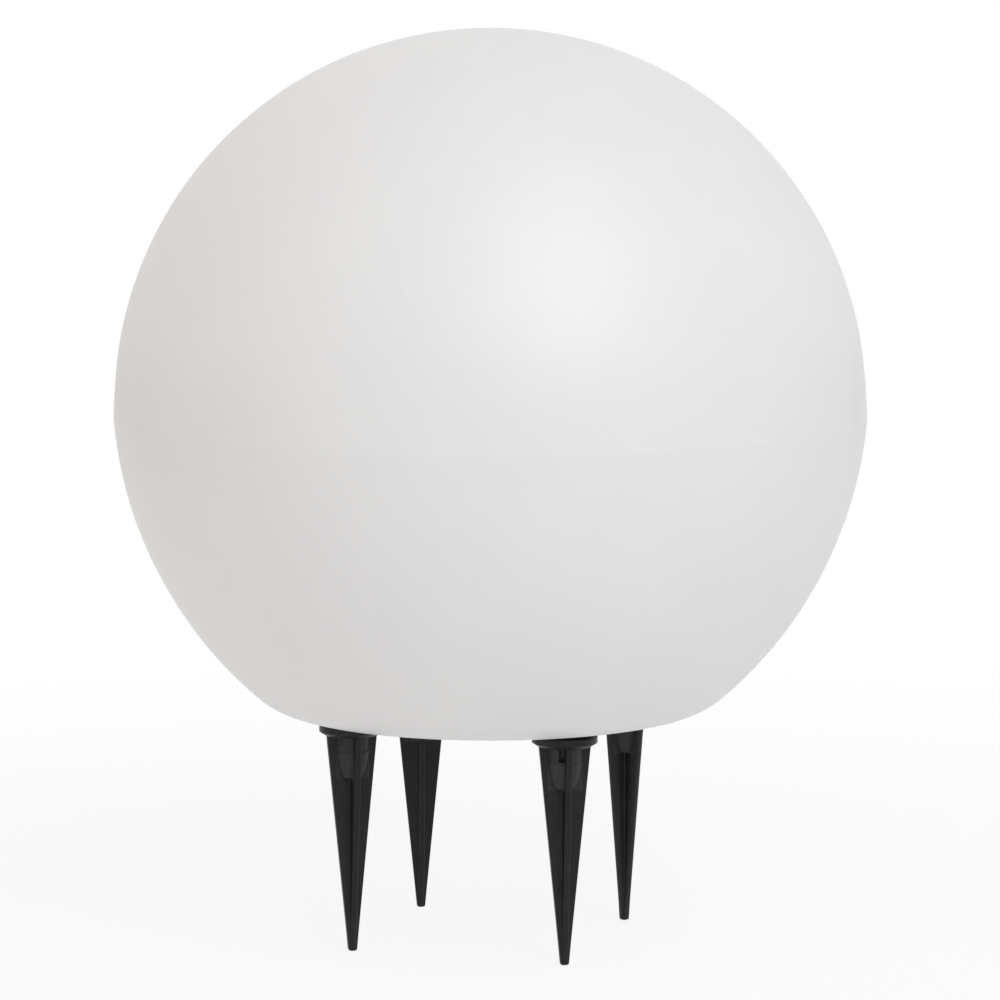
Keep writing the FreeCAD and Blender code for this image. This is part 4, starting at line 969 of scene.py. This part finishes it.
def grub_screw(x, y):
    """A slotted screw without a head."""
    thread = helix(0.5 * MM, 0.2 * MM, grub_low.z, grub_high.z, 0.3)
    edge = 0.2 * MM
    body = lathe("tool", [(0, grub_low.z), (0.6 * MM, grub_low.z)]
                 + climb(GRUB_R, grub_low.z + edge, grub_high.z - edge, 0.08 * MM)
                 + [(0.8 * MM, grub_high.z), (0, grub_high.z)], 36, thread, 50)
    slot = brick(-2 * MM, 2 * MM, -0.2 * MM, 0.2 * MM, grub_high.z - 0.7 * MM, grub_high.z + MM)
    return shift(carve(body, [slot]), x, y)


def wood_screw():
    """The block's fixing screw, its cross-slotted head between the poles."""
    thread = helix(0.9 * MM, 0.3 * MM, fixing_low.z, FIXING_SEAT - MM)
    shank = climb(1.2 * MM, fixing_low.z + 0.6 * MM, FIXING_SEAT, 0.12 * MM)
    body = lathe("tool", [(0, fixing_low.z)] + shank
                 + rounded((1.35 * MM, FIXING_SEAT, 0), (1.35 * MM, fixing_high.z, 0.8 * MM),
                           (0, fixing_high.z, 0), steps=4), 36, thread, 50)
    slots = [brick(-x, x, -y, y, fixing_high.z - 0.8 * MM, fixing_high.z + MM)
             for x, y in ((0.9 * MM, 0.18 * MM), (0.18 * MM, 0.9 * MM))]
    return shift(carve(body, slots), 0, (block_low.y + block_high.y) / 2)


def wire_tubes():
    tubes = []
    for side in (1, -1):
        tube = ease(wire_rod(TUBE_R, side * POLE_X), 0.2 * MM)
        screws = [rod(GRUB_R, WIRE_Z, WIRE_Z + 3 * MM, side * POLE_X, y, 24) for y in GRUB_Y]
        tubes.append(carve(tube, [wire_rod(WIRE_R, side * POLE_X, MM)] + screws))
    return tubes


TERMINAL_PLASTIC = finish("terminal_plastic", {"Subsurface Weight": 0.3, "Subsurface Scale": 2 * MM},
                          Base_Color=satin_colour(0.76), Normal=satin_grain,
                          Roughness=uneven(0.38, 0.1, 150.0))


def mottled(first, second, per_metre=350.0):
    def made(tree):
        return tree.blend(tree.cloud(per_metre, 3.0), first, second)
    return made


def insulation_grain(tree):
    return tree.bump(tree.cloud(500.0, 2.0), 0.03 * MM)


LEAD_BROWN = finish("lead_brown", {}, Base_Color=mottled((0.16, 0.062, 0.024, 1), (0.20, 0.085, 0.036, 1)),
                    Normal=insulation_grain, Roughness=uneven(0.36, 0.12, 200.0))
LEAD_BLUE = finish("lead_blue", {}, Base_Color=mottled((0.030, 0.11, 0.40, 1), (0.045, 0.15, 0.50, 1)),
                   Normal=insulation_grain, Roughness=uneven(0.36, 0.12, 200.0))
fit(terminal_mesh(), TERMINAL_PLASTIC, "lamp_unit", "terminal_plastic", "terminal_block")
fit(join("terminal_tube_set", wire_tubes()), BRASS, "lamp_unit", "brass", "terminal_tubes")
fit(join("terminal_screw_set", [grub_screw(side * POLE_X, y) for side in (1, -1) for y in GRUB_Y]),
    SCREW_STEEL, "lamp_unit", "screw_steel", "terminal_screws")
fit(join("terminal_fixing", [wood_screw()]), SCREW_STEEL, "lamp_unit", "screw_steel",
    "terminal_fixing_screw")
coat(LEAD_BROWN, "lead_live")
coat(LEAD_BLUE, "lead_neutral")

# ---- Stirrup and nipple ----
# A bent strip of zinc-plated steel screwed down on the cover. An M10 threaded tube and its nut
# hold the lamp holder on its bridge.

strip_low, strip_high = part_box("holder_stirrup")
nipple_low, nipple_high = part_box("nipple")
hexnut_low, hexnut_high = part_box("nipple_nut")
STRIP_T = 2.0 * MM
LEG_IN = 21.0 * MM
LEG_OUT = LEG_IN + STRIP_T
NIPPLE_R = 5.0 * MM


def stirrup_mesh():
    end, low, top, t = strip_high.x, strip_low.z, strip_high.z, STRIP_T
    body = drawn("stirrup_strip", rounded(
        (-end, low, 0), (-LEG_IN, low, 1.4 * t), (-LEG_IN, top - t, MM), (LEG_IN, top - t, MM),
        (LEG_IN, low, 1.4 * t), (end, low, 0), (end, low + t, 0), (LEG_OUT, low + t, 0.8 * MM),
        (LEG_OUT, top, t + MM), (-LEG_OUT, top, t + MM), (-LEG_OUT, low + t, 0.8 * MM), (-end, low + t, 0),
        steps=6), strip_low.y, strip_high.y)
    ease(body, 0.35 * MM)
    holes = [rod(NIPPLE_R, top - t - MM, top + MM)]
    holes += [rod(1.9 * MM, low - MM, low + t + MM, side * FOOT_SCREW_X, 0, 32) for side in (1, -1)]
    return carve(body, holes)


def foot_screw(x):
    """An M3.5 pan-head screw through a foot of the stirrup."""
    seat = COVER_TOP + STRIP_T
    low, high = seat - 9.5 * MM, seat + 2.2 * MM
    thread = helix(0.6 * MM, 0.3 * MM, low, seat - 0.5 * MM)
    body = lathe("tool", [(0, low), (1.3 * MM, low)] + climb(1.75 * MM, low + 0.5 * MM, seat, 0.09 * MM)
                 + rounded((3.4 * MM, seat, 0), (3.4 * MM, high, 1.3 * MM), (0, high, 0), steps=5),
                 40, thread, 50)
    return shift(carve(body, [hexagon(2.0 * MM, high - 1.2 * MM, high + MM)], crease=40), x)


def nipple_mesh():
    thread = helix(MM, 0.5 * MM, nipple_low.z, nipple_high.z, 0.5)
    edge = 0.4 * MM
    bore = 3.75 * MM
    outer = [(bore + edge, nipple_low.z), (NIPPLE_R - edge, nipple_low.z)]
    outer += climb(NIPPLE_R, nipple_low.z + edge, nipple_high.z - edge, 0.14 * MM)
    outer += [(NIPPLE_R - edge, nipple_high.z), (bore + edge, nipple_high.z), (bore, nipple_high.z - edge),
              (bore, nipple_low.z + edge)]

    def relief(angle, r, z):
        return thread(angle, r, z) if r > NIPPLE_R * 0.99 else (r, z)
    return lathe("nipple_tube", outer, 60, relief, 50)


def zinc_colour(tree):
    spangle = tree.node("TexVoronoi", None, {"Vector": tree.place(), "Scale": 320.0}, out="Color")
    plate = tree.blend(tree.cloud(60.0, 3.0), (0.55, 0.57, 0.60, 1), (0.68, 0.69, 0.70, 1))
    return tree.blend(0.08, plate, spangle)


ZINC_STEEL = finish("stirrup_steel", {"Metallic": 1.0}, Base_Color=zinc_colour, Normal=rubber_grain,
                    Roughness=uneven(0.30, 0.2, 120.0, 4.0))
nipple_nut = carve(hexagon(14 * MM, hexnut_low.z, hexnut_high.z, 0.9 * MM),
                   [rod(NIPPLE_R, hexnut_low.z - MM, hexnut_high.z + MM)])
nipple_nut.name = "nipple_hexagon_nut"
fit(stirrup_mesh(), ZINC_STEEL, "lamp_unit", "stirrup_steel", "holder_stirrup")
fit(nipple_mesh(), ZINC_STEEL, "lamp_unit", "stirrup_steel", "nipple")
fit(nipple_nut, ZINC_STEEL, "lamp_unit", "stirrup_steel", "nipple_nut")
fit(join("foot_screw_set", [foot_screw(side * FOOT_SCREW_X) for side in (1, -1)]), SCREW_STEEL, "lamp_unit",
    "screw_steel", "stirrup_screws")

# ---- Lamp holder ----
# A 27 mm holder in black phenolic, in two halves that screw together, with a steatite contact
# carrier, a brass screw shell and two sprung contacts between them.

base_low, base_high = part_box("holder_base")
skirt_low, skirt_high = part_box("holder_skirt")
insert_low, insert_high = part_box("holder_insert")
shell_low, shell_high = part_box("holder_screw_shell")
tongue_low, tongue_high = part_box("holder_centre_contact")
side_low, side_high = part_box("holder_side_contact")
HOLDER_R = base_high.x
COLLAR_R = HOLDER_R - 2.2 * MM
FLUTES = 16
FLUTE_R = 1.6 * MM
FLUTE_SINK = 0.8 * MM
MOUTH_R = 13.9 * MM
SLEEVE_IN_R = 16.2 * MM
CAP_PITCH = 3.6286 * MM


def fluted(low, high, sink):
    """Relief of rounded grooves down a sleeve, running out at both ends."""
    def relief(angle, r, z):
        if r < HOLDER_R * 0.999 or z < low or z > high:
            return r, z
        part = (angle * FLUTES / TURN + 0.5) % 1.0 - 0.5
        aside = part * TURN / FLUTES * r
        across = max(0.0, FLUTE_R * FLUTE_R - aside * aside)
        depth = max(0.0, math.sqrt(across) - FLUTE_R + sink)
        return r - depth * min(1.0, min(z - low, high - z) / (0.8 * MM)), z
    return relief


def holder_base_mesh():
    low, top = base_low.z, base_high.z
    shoulder = skirt_low.z
    body = lathe("holder_lower_half", rounded(
        (NIPPLE_R, low, 0.3 * MM), (13 * MM, low, 2 * MM), (HOLDER_R, low + 11 * MM, 3 * MM),
        (HOLDER_R, shoulder, 0.3 * MM), (COLLAR_R, shoulder, 0), (COLLAR_R, top, 0.4 * MM),
        (15 * MM, top, 0.3 * MM), (15 * MM, low + 15 * MM, 2 * MM), (11 * MM, low + 8 * MM, 1.5 * MM),
        (NIPPLE_R, low + 8 * MM, 0.3 * MM)), 144)
    groove = lathe("tool", [(HOLDER_R - 0.4 * MM, shoulder - 3 * MM), (HOLDER_R + MM, shoulder - 3.8 * MM),
                            (HOLDER_R + MM, shoulder - 2.2 * MM)], 144)
    return carve(body, [groove])


def holder_skirt_mesh():
    low, top = skirt_low.z, skirt_high.z
    taper = top - 12 * MM
    lip = top - 3 * MM
    first, last = low + 2 * MM, taper - 2 * MM
    outer = [(COLLAR_R, low), (HOLDER_R - 0.3 * MM, low), (HOLDER_R, low + 0.3 * MM)]
    outer += climb(HOLDER_R, first - 0.1 * MM, last + 0.1 * MM, 0.4 * MM)
    outer += rounded((HOLDER_R, low, 0), (HOLDER_R, taper, MM), (19 * MM, top, 1.2 * MM),
                     (MOUTH_R, top, 0.8 * MM), (MOUTH_R, lip, 0.2 * MM), (SLEEVE_IN_R, lip, 0),
                     (SLEEVE_IN_R, insert_low.z, 0), (COLLAR_R, insert_low.z, 0))[1:]
    return lathe("holder_upper_half", outer, FLUTES * 14, fluted(first, last, FLUTE_SINK))


def carrier_mesh():
    """The steatite disc, with a well for the centre contact and a notch for the side contact."""
    radius = insert_high.x
    body = lathe("contact_carrier", rounded(
        (0, insert_low.z, 0), (radius, insert_low.z, 0.6 * MM), (radius, insert_high.z, 0.6 * MM),
        (0, insert_high.z, 0)), 96)
    notch = brick(14.2 * MM, radius + MM, -2.6 * MM, 2.6 * MM, insert_high.z - 5 * MM, insert_high.z + MM)
    rivets = [rod(1.3 * MM, insert_high.z - 0.5 * MM, insert_high.z + MM, 0, side * 9 * MM, 24)
              for side in (1, -1)]
    return carve(body, [notch] + rivets)


def screw_shell_mesh():
    """Thin brass shell, rolled with the round thread of the cap, its waves outwards."""
    thread = helix(CAP_PITCH, -0.55 * MM, shell_low.z + MM, shell_high.z - MM, 0.5, False)
    outline = climb(14.2 * MM, shell_low.z, shell_high.z, 0.3 * MM)
    outline += climb(13.5 * MM, shell_high.z, shell_low.z, 0.3 * MM)
    return lathe("thread_shell", outline, 96, thread, 50)


def tongue_mesh():
    """The sprung centre contact, folded from bronze strip."""
    low, top, t = tongue_low.z, tongue_high.z, 0.5 * MM
    body = drawn("centre_tongue", rounded(
        (-10 * MM, low, 0), (-5.5 * MM, low, 0.8 * MM), (2.5 * MM, top - t, 0.8 * MM),
        (4 * MM, top - t - 0.4 * MM, 0), (4 * MM, top - 0.4 * MM, 0), (2.5 * MM, top, MM),
        (-5.5 * MM, low + t, 0.8 * MM), (-10 * MM, low + t, 0), steps=4), tongue_low.y, tongue_high.y)
    return ease(body, 0.12 * MM)


def side_strip_mesh():
    """The side contact, a strip soldered to the shell, its upper corners cut off."""
    half = side_high.y
    low, top = side_low.z, side_high.z
    strip = drawn("side_strip", rounded((-half, low, 0), (half, low, 0), (half, top, 1.2 * MM),
                                        (-half, top, 1.2 * MM)), side_low.x, side_high.x)
    strip.data.transform(Matrix.Rotation(-math.pi / 2, 4, "Z"))
    return ease(strip, 0.12 * MM)


def phenolic_colour(tree):
    flecks = tree.cloud(900.0, 5.0).between(0.6, 0.72)
    return tree.blend(flecks * 0.5, (0.020, 0.019, 0.019, 1), (0.055, 0.050, 0.047, 1))


HOLDER_PLASTIC = finish("holder_plastic", {}, Base_Color=phenolic_colour, Normal=satin_grain,
                        Roughness=uneven(0.20, 0.14, 90.0, 4.0))
HOLDER_CERAMIC = finish("holder_ceramic", {}, Normal=rubber_grain,
                        Base_Color=mottled((0.80, 0.76, 0.68, 1), (0.84, 0.81, 0.75, 1)),
                        Roughness=uneven(0.62, 0.15, 400.0))
fit(holder_base_mesh(), HOLDER_PLASTIC, "lamp_unit", "holder_plastic", "holder_base")
fit(holder_skirt_mesh(), HOLDER_PLASTIC, "lamp_unit", "holder_plastic", "holder_skirt")
fit(carrier_mesh(), HOLDER_CERAMIC, "lamp_unit", "holder_ceramic", "holder_insert")
fit(screw_shell_mesh(), BRASS, "lamp_unit", "brass", "holder_screw_shell")
fit(tongue_mesh(), BRASS, "lamp_unit", "brass", "holder_centre_contact")
fit(side_strip_mesh(), BRASS, "lamp_unit", "brass", "holder_side_contact")

# ---- Bulb ----
# An LED bulb: nickel-plated screw cap with a black glass bead, white housing, opal dome on a
# spigot, and inside it the LED board with its driver board below.

cap_low, cap_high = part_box("bulb_cap")
tip_low, tip_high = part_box("bulb_contact")
bead_low, bead_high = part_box("bulb_insulator")
housing_low, housing_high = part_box("bulb_housing")
dome_low, dome_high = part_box("bulb_diffuser")
leds_low, leds_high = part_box("leds")
lamp_board_low, lamp_board_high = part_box("led_board")
driver_low, driver_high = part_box("driver_board")
CAP_R = cap_high.x
CAP_WALL = 0.6 * MM
CAP_DEPTH = 0.85 * MM
PLUG_R = CAP_R - CAP_WALL - 0.05 * MM
BULB_R = dome_high.x
DOME_CENTRE_Z = dome_high.z - BULB_R
RIM_Z = housing_high.z
HOUSING_R = 27.3 * MM
DOME_SEAT_R = 25.8 * MM


def cap_mesh():
    """Drawn screw cap: rolled lower edge, round thread, and a plain collar crimped to the housing."""
    thread = helix(CAP_PITCH, CAP_DEPTH, cap_low.z + 0.6 * MM, cap_high.z - 5 * MM, 0.7, False)

    def relief(angle, radius, z):
        r, z = thread(angle, radius, z)
        crimp = math.exp(-((z - cap_high.z + 2.4 * MM) / (0.8 * MM)) ** 2)
        dent = max(0.0, math.cos(angle * 8)) ** 12
        return r - 0.4 * MM * crimp * dent, z
    outer = arc((CAP_R - 0.7 * MM, cap_low.z + 0.7 * MM), 0.7 * MM, 270, 360, 5)
    outer += climb(CAP_R, cap_low.z + 0.9 * MM, cap_high.z, 0.25 * MM)
    inner = climb(CAP_R - CAP_WALL, cap_high.z, cap_low.z + CAP_WALL, 0.4 * MM)
    edge = [(CAP_R - 1.2 * MM, cap_low.z + CAP_WALL), (CAP_R - 1.2 * MM, cap_low.z)]
    return lathe("bulb_screw_cap", outer + inner + edge, 96, relief, 40)


def tip_mesh():
    """The centre contact, a tinned disc with a small run of solder."""
    radius = tip_high.x
    return lathe("bulb_tip", rounded(
        (0, tip_low.z + 0.25 * MM, 0), (1.2 * MM, tip_low.z, 0.5 * MM), (radius, tip_low.z, MM),
        (radius, tip_high.z, 0.2 * MM), (0, tip_high.z, 0)), 60)


def bead_mesh():
    """The glass bead between tip and cap, with two pressed steps."""
    low, high, radius = bead_low.z, bead_high.z, bead_high.x
    return lathe("bulb_bead", rounded(
        (0, low, 0), (5.2 * MM, low, 0.4 * MM), (7.2 * MM, low + 1.5 * MM, 0.5 * MM),
        (8.0 * MM, low + 1.5 * MM, 0.3 * MM), (radius, low + 4 * MM, 0.6 * MM), (radius, high, 0.2 * MM),
        (0, high, 0)), 72)


def housing_mesh():
    """Flared housing: its plug in the cap, a rim that takes the dome, a ledge under the board."""
    low, cap_top = housing_low.z, cap_high.z
    ledge = lamp_board_low.z
    waist = cap_top + 12 * MM
    inside = PLUG_R - 1.6 * MM
    return lathe("bulb_body", rounded(
        (inside, low, 0), (PLUG_R, low, 0.3 * MM), (PLUG_R, cap_top, 0), (14.5 * MM, cap_top, 0.8 * MM),
        (16.5 * MM, waist, 25 * MM), (HOUSING_R, ledge - 5 * MM, 8 * MM), (HOUSING_R, RIM_Z, 0.4 * MM),
        (DOME_SEAT_R, RIM_Z, 0.3 * MM), (DOME_SEAT_R, ledge, 0), (20.5 * MM, ledge, 0),
        (20.5 * MM, ledge - 2 * MM, 0),
        (14.5 * MM, waist, 22 * MM), (inside, cap_top + 2 * MM, 0), steps=14), 120)


def dome_mesh():
    """The opal dome, a ball over most of its height, on a spigot inside the rim."""
    inner = BULB_R - 1.4 * MM
    drop = DOME_CENTRE_Z - RIM_Z
    foot = -math.degrees(math.asin(drop / BULB_R))
    foot_in = -math.degrees(math.asin((drop - 0.6 * MM) / inner))
    centre = (0, DOME_CENTRE_Z)
    outline = [(24.3 * MM, dome_low.z), (25.4 * MM, dome_low.z), (25.4 * MM, RIM_Z)]
    outline += arc(centre, BULB_R, foot, 90, 40)
    outline += arc(centre, inner, 90, foot_in, 30)
    outline += [(24.3 * MM, RIM_Z + 0.6 * MM)]
    return lathe("bulb_dome", outline, 120)


def lamp_board_mesh():
    """The round LED board, with holes for its wires and two fixing screws."""
    body = ring("lamp_board", lamp_board_high.x, 0.8 * MM, lamp_board_low.z, lamp_board_high.z, 0.15 * MM)
    holes = [rod(1.1 * MM, lamp_board_low.z - MM, lamp_board_high.z + MM, x, y, 24)
             for x, y in ((3 * MM, 0), (-3 * MM, 0), (0, 21.5 * MM), (0, -21.5 * MM))]
    return carve(body, holes)


def led(turn):
    """One LED: a white package with a sunk window of phosphor, on a circle round the axis."""
    package = ease(brick(-1.4 * MM, 1.4 * MM, -1.75 * MM, 1.75 * MM, leds_low.z, leds_high.z), 0.15 * MM)
    window = brick(-1.0 * MM, 1.0 * MM, -1.3 * MM, 1.3 * MM, leds_high.z - 0.15 * MM, leds_high.z + MM)
    return shift(shift(carve(package, [window]), 16 * MM), turn=turn)


def driver_mesh():
    """The upright driver board with its capacitor, choke and four small parts."""
    top = driver_high.z
    board = ease(brick(-9 * MM, 9 * MM, -0.8 * MM, 0.8 * MM, driver_low.z, top), 0.15 * MM)
    can_r = 4 * MM
    can = lathe("tool", rounded(
        (0, top - 14 * MM, 0), (can_r, top - 14 * MM, 0.6 * MM), (can_r, top - 12.6 * MM, 0.3 * MM),
        (can_r - 0.3 * MM, top - 12.2 * MM, 0.3 * MM), (can_r, top - 11.8 * MM, 0.3 * MM),
        (can_r, top - 4 * MM, 0.4 * MM), (0, top - 4 * MM, 0)), 60)
    choke = ease(brick(-5 * MM, 5 * MM, -7 * MM, -0.7 * MM, top - 12 * MM, top - 4 * MM), 0.5 * MM)
    small = [ease(brick(x, x + 3 * MM, 0.7 * MM, 1.9 * MM, top - z, top - z + 4.5 * MM), 0.15 * MM)
             for x, z in ((-7 * MM, 20 * MM), (-2 * MM, 20 * MM), (3 * MM, 20 * MM), (-4 * MM, 26 * MM))]
    return join("driver_assembly", [board, shift(can, 0, 4.6 * MM), choke] + small)


def opal_colour(tree):
    return tree.blend(tree.cloud(30.0, 3.0), (0.88, 0.88, 0.865, 1), (0.90, 0.90, 0.89, 1))


def board_colour(base, copper):
    def made(tree):
        tracks = tree.node("TexBrick", {"offset": 0.5}, {
            "Vector": tree.place(), "Scale": 160.0, "Mortar Size": 0.06, "Color1": base, "Color2": base,
            "Mortar": copper})
        return tree.blend(0.35, base, tracks)
    return made


NICKEL = finish("cap_nickel", {"Metallic": 1.0}, Normal=turned_lines,
                Base_Color=mottled((0.62, 0.61, 0.58, 1), (0.72, 0.71, 0.69, 1)),
                Roughness=uneven(0.16, 0.16, 160.0, 4.0))
CAP_GLASS = finish("cap_glass", {"Coat Weight": 0.6}, Base_Color=black_plastic(0.012),
                   Normal=insulation_grain, Roughness=uneven(0.12, 0.1, 300.0))
BULB_PLASTIC = finish("bulb_plastic", {"Coat Weight": 0.2}, Base_Color=satin_colour(0.84),
                      Normal=satin_grain, Roughness=uneven(0.26, 0.1, 60.0))
BULB_OPAL = finish("bulb_opal", {"Subsurface Weight": 0.5, "Subsurface Scale": 4 * MM},
                   Base_Color=opal_colour, Normal=insulation_grain,
                   Roughness=uneven(0.34, 0.1, 80.0))
BOARD_WHITE = finish("board_white", {},
                     Base_Color=board_colour((0.84, 0.84, 0.82, 1), (0.70, 0.70, 0.66, 1)),
                     Roughness=uneven(0.40, 0.1, 100.0), Normal=insulation_grain)
BOARD_GREEN = finish("board_green", {},
                     Base_Color=board_colour((0.03, 0.17, 0.08, 1), (0.09, 0.30, 0.14, 1)),
                     Roughness=uneven(0.35, 0.1, 100.0), Normal=insulation_grain)
LED_PHOSPHOR = finish("led_phosphor", {"Coat Weight": 0.5}, Roughness=uneven(0.3, 0.1, 800.0),
                      Base_Color=mottled((0.82, 0.62, 0.12, 1), (0.88, 0.72, 0.20, 1)),
                      Normal=insulation_grain)
fit(cap_mesh(), NICKEL, "bulb", "cap_nickel", "bulb_cap")
fit(tip_mesh(), NICKEL, "bulb", "cap_nickel", "bulb_contact")
fit(bead_mesh(), CAP_GLASS, "bulb", "cap_glass", "bulb_insulator")
fit(housing_mesh(), BULB_PLASTIC, "bulb", "bulb_plastic", "bulb_housing")
fit(dome_mesh(), BULB_OPAL, "bulb_glass", "bulb_opal", "bulb_diffuser")
fit(lamp_board_mesh(), BOARD_WHITE, "bulb", "board_white", "led_board")
fit(driver_mesh(), BOARD_GREEN, "bulb", "board_green", "driver_board")
fit(join("led_ring", [led(30 * i) for i in range(12)]), LED_PHOSPHOR, "bulb", "led_phosphor", "leds")

# ---- Studio ----
# A pale floor that fades into a white surround, even light all round that is warmer on the left
# and weaker from above, two large soft lamps from the upper right, and a long lens.

FLOOR_HALF = 6.0
FADE_FROM = 0.35
FADE_TO = 1.3
VEIL = 0.85
SURROUND = 0.69
ZENITH_LOSS = 0.14
WARM_SIDE = (1.19, 1.09, 0.99, 1)
COOL_SIDE = (0.985, 0.985, 0.985, 1)
LAMP_DISTANCE = 3.0
LAMP_SIZE = 1.9
VIEW_AZIMUTH = math.radians(17.2)
VIEW_ELEVATION = math.radians(5.6)
VIEW_DISTANCE = 3.0
LENS = 161.7
FRAME_PIXELS = 1000
FOCAL_PIXELS = LENS / 36 * FRAME_PIXELS
BALL_AT_PIXEL = (490.4, 404.0)

bm = bmesh.new()
bmesh.ops.create_grid(bm, x_segments=24, y_segments=24, size=FLOOR_HALF)
floor = solid("floor", bm)
floor_material = bpy.data.materials.new("floor_paper")
floor_material.use_nodes = True
paper = Tree(floor_material.node_tree)
paper_shader = floor_material.node_tree.nodes["Principled BSDF"]
paper_shader.inputs["Roughness"].default_value = 0.9
paper_shader.inputs["Specular IOR Level"].default_value = 0.1
paper.put(paper_shader.inputs["Base Color"],
          paper.blend(paper.cloud(30.0, 4.0), (0.92, 0.92, 0.92, 1), (0.94, 0.94, 0.94, 1)))
away = paper.node("VectorMath", {"operation": "LENGTH"}, {0: paper.place()}, out="Value")
seen = paper.node("LightPath", out="Is Camera Ray")
mirrored = paper.node("LightPath", out="Is Glossy Ray") + paper.node("LightPath", out="Is Transmission Ray")
veil = VEIL + (1 - VEIL) * away.between(FADE_FROM, FADE_TO)
glow = paper.node("Emission", None, {"Color": (1, 1, 1, 1), "Strength": 1.0})
mixed = paper.node("MixShader", None, {0: (seen + mirrored) * veil,
                                       1: Signal(paper, paper_shader.outputs[0]), 2: glow})
paper.put(floor_material.node_tree.nodes["Material Output"].inputs["Surface"], mixed)
floor.data.materials.append(floor_material)

world = bpy.data.worlds.new("studio")
world.use_nodes = True
bpy.context.scene.world = world
sky = Tree(world.node_tree)
direct = sky.node("LightPath", out="Is Camera Ray") + sky.node("LightPath", out="Is Glossy Ray")
direct = direct + sky.node("LightPath", out="Is Transmission Ray")
backdrop = world.node_tree.nodes["Background"]
towards = sky.node("TexCoord", out="Generated")
sideways = sky.node("SeparateXYZ", None, {0: towards}, out="X")
upwards = sky.node("SeparateXYZ", None, {0: towards}, out="Z").between(0.0, 1.0)
tinted = sky.blend(sideways.between(-0.9, 0.2), WARM_SIDE, COOL_SIDE)
sky.put(backdrop.inputs["Color"], sky.blend(direct, tinted, (1, 1, 1, 1)))
level = SURROUND * (1 - ZENITH_LOSS * upwards)
sky.put(backdrop.inputs["Strength"], level + (1 - level) * direct)

ball_centre = Vector((0, 0, BALL_CENTRE_Z))


def direction(azimuth, elevation):
    """Unit vector from the object towards a place seen at that azimuth, 0 being the front."""
    return Vector((math.sin(azimuth) * math.cos(elevation), -math.cos(azimuth) * math.cos(elevation),
                   math.sin(elevation)))


def softbox(name, azimuth, elevation, distance, size, watts, colour):
    """A round area lamp that looks at the middle of the ball."""
    lamp = bpy.data.objects.new(name, bpy.data.lights.new(name, "AREA"))
    lamp.data.shape = "DISK"
    lamp.data.color = colour
    lamp.data.size = size
    lamp.data.energy = watts
    way = direction(math.radians(azimuth), math.radians(elevation))
    lamp.location = ball_centre + way * distance
    lamp.rotation_mode = "QUATERNION"
    lamp.rotation_quaternion = (-way).to_track_quat("-Z", "Y")
    bpy.context.scene.collection.objects.link(lamp)


softbox("key_lamp", 42, 35, LAMP_DISTANCE, LAMP_SIZE, 21.5, (0.955, 0.98, 1.0))
softbox("upper_lamp", 50, 58, LAMP_DISTANCE, LAMP_SIZE, 6.5, (0.93, 0.965, 1.0))

back = direction(VIEW_AZIMUTH, VIEW_ELEVATION)
aim = (-back).to_track_quat("-Z", "Y")
right = aim @ Vector((1, 0, 0))
up = aim @ Vector((0, 1, 0))
off_x = (FRAME_PIXELS / 2 - BALL_AT_PIXEL[0]) / FOCAL_PIXELS * VIEW_DISTANCE
off_y = (FRAME_PIXELS / 2 - BALL_AT_PIXEL[1]) / FOCAL_PIXELS * VIEW_DISTANCE
camera = bpy.data.objects.new("camera", bpy.data.cameras.new("camera"))
camera.data.lens = LENS
camera.location = ball_centre + back * VIEW_DISTANCE
look = ball_centre + right * off_x - up * off_y - camera.location
camera.rotation_mode = "QUATERNION"
camera.rotation_quaternion = look.to_track_quat("-Z", "Y")
bpy.context.scene.collection.objects.link(camera)
bpy.context.scene.camera = camera
bpy.context.scene.view_settings.view_transform = "Standard"
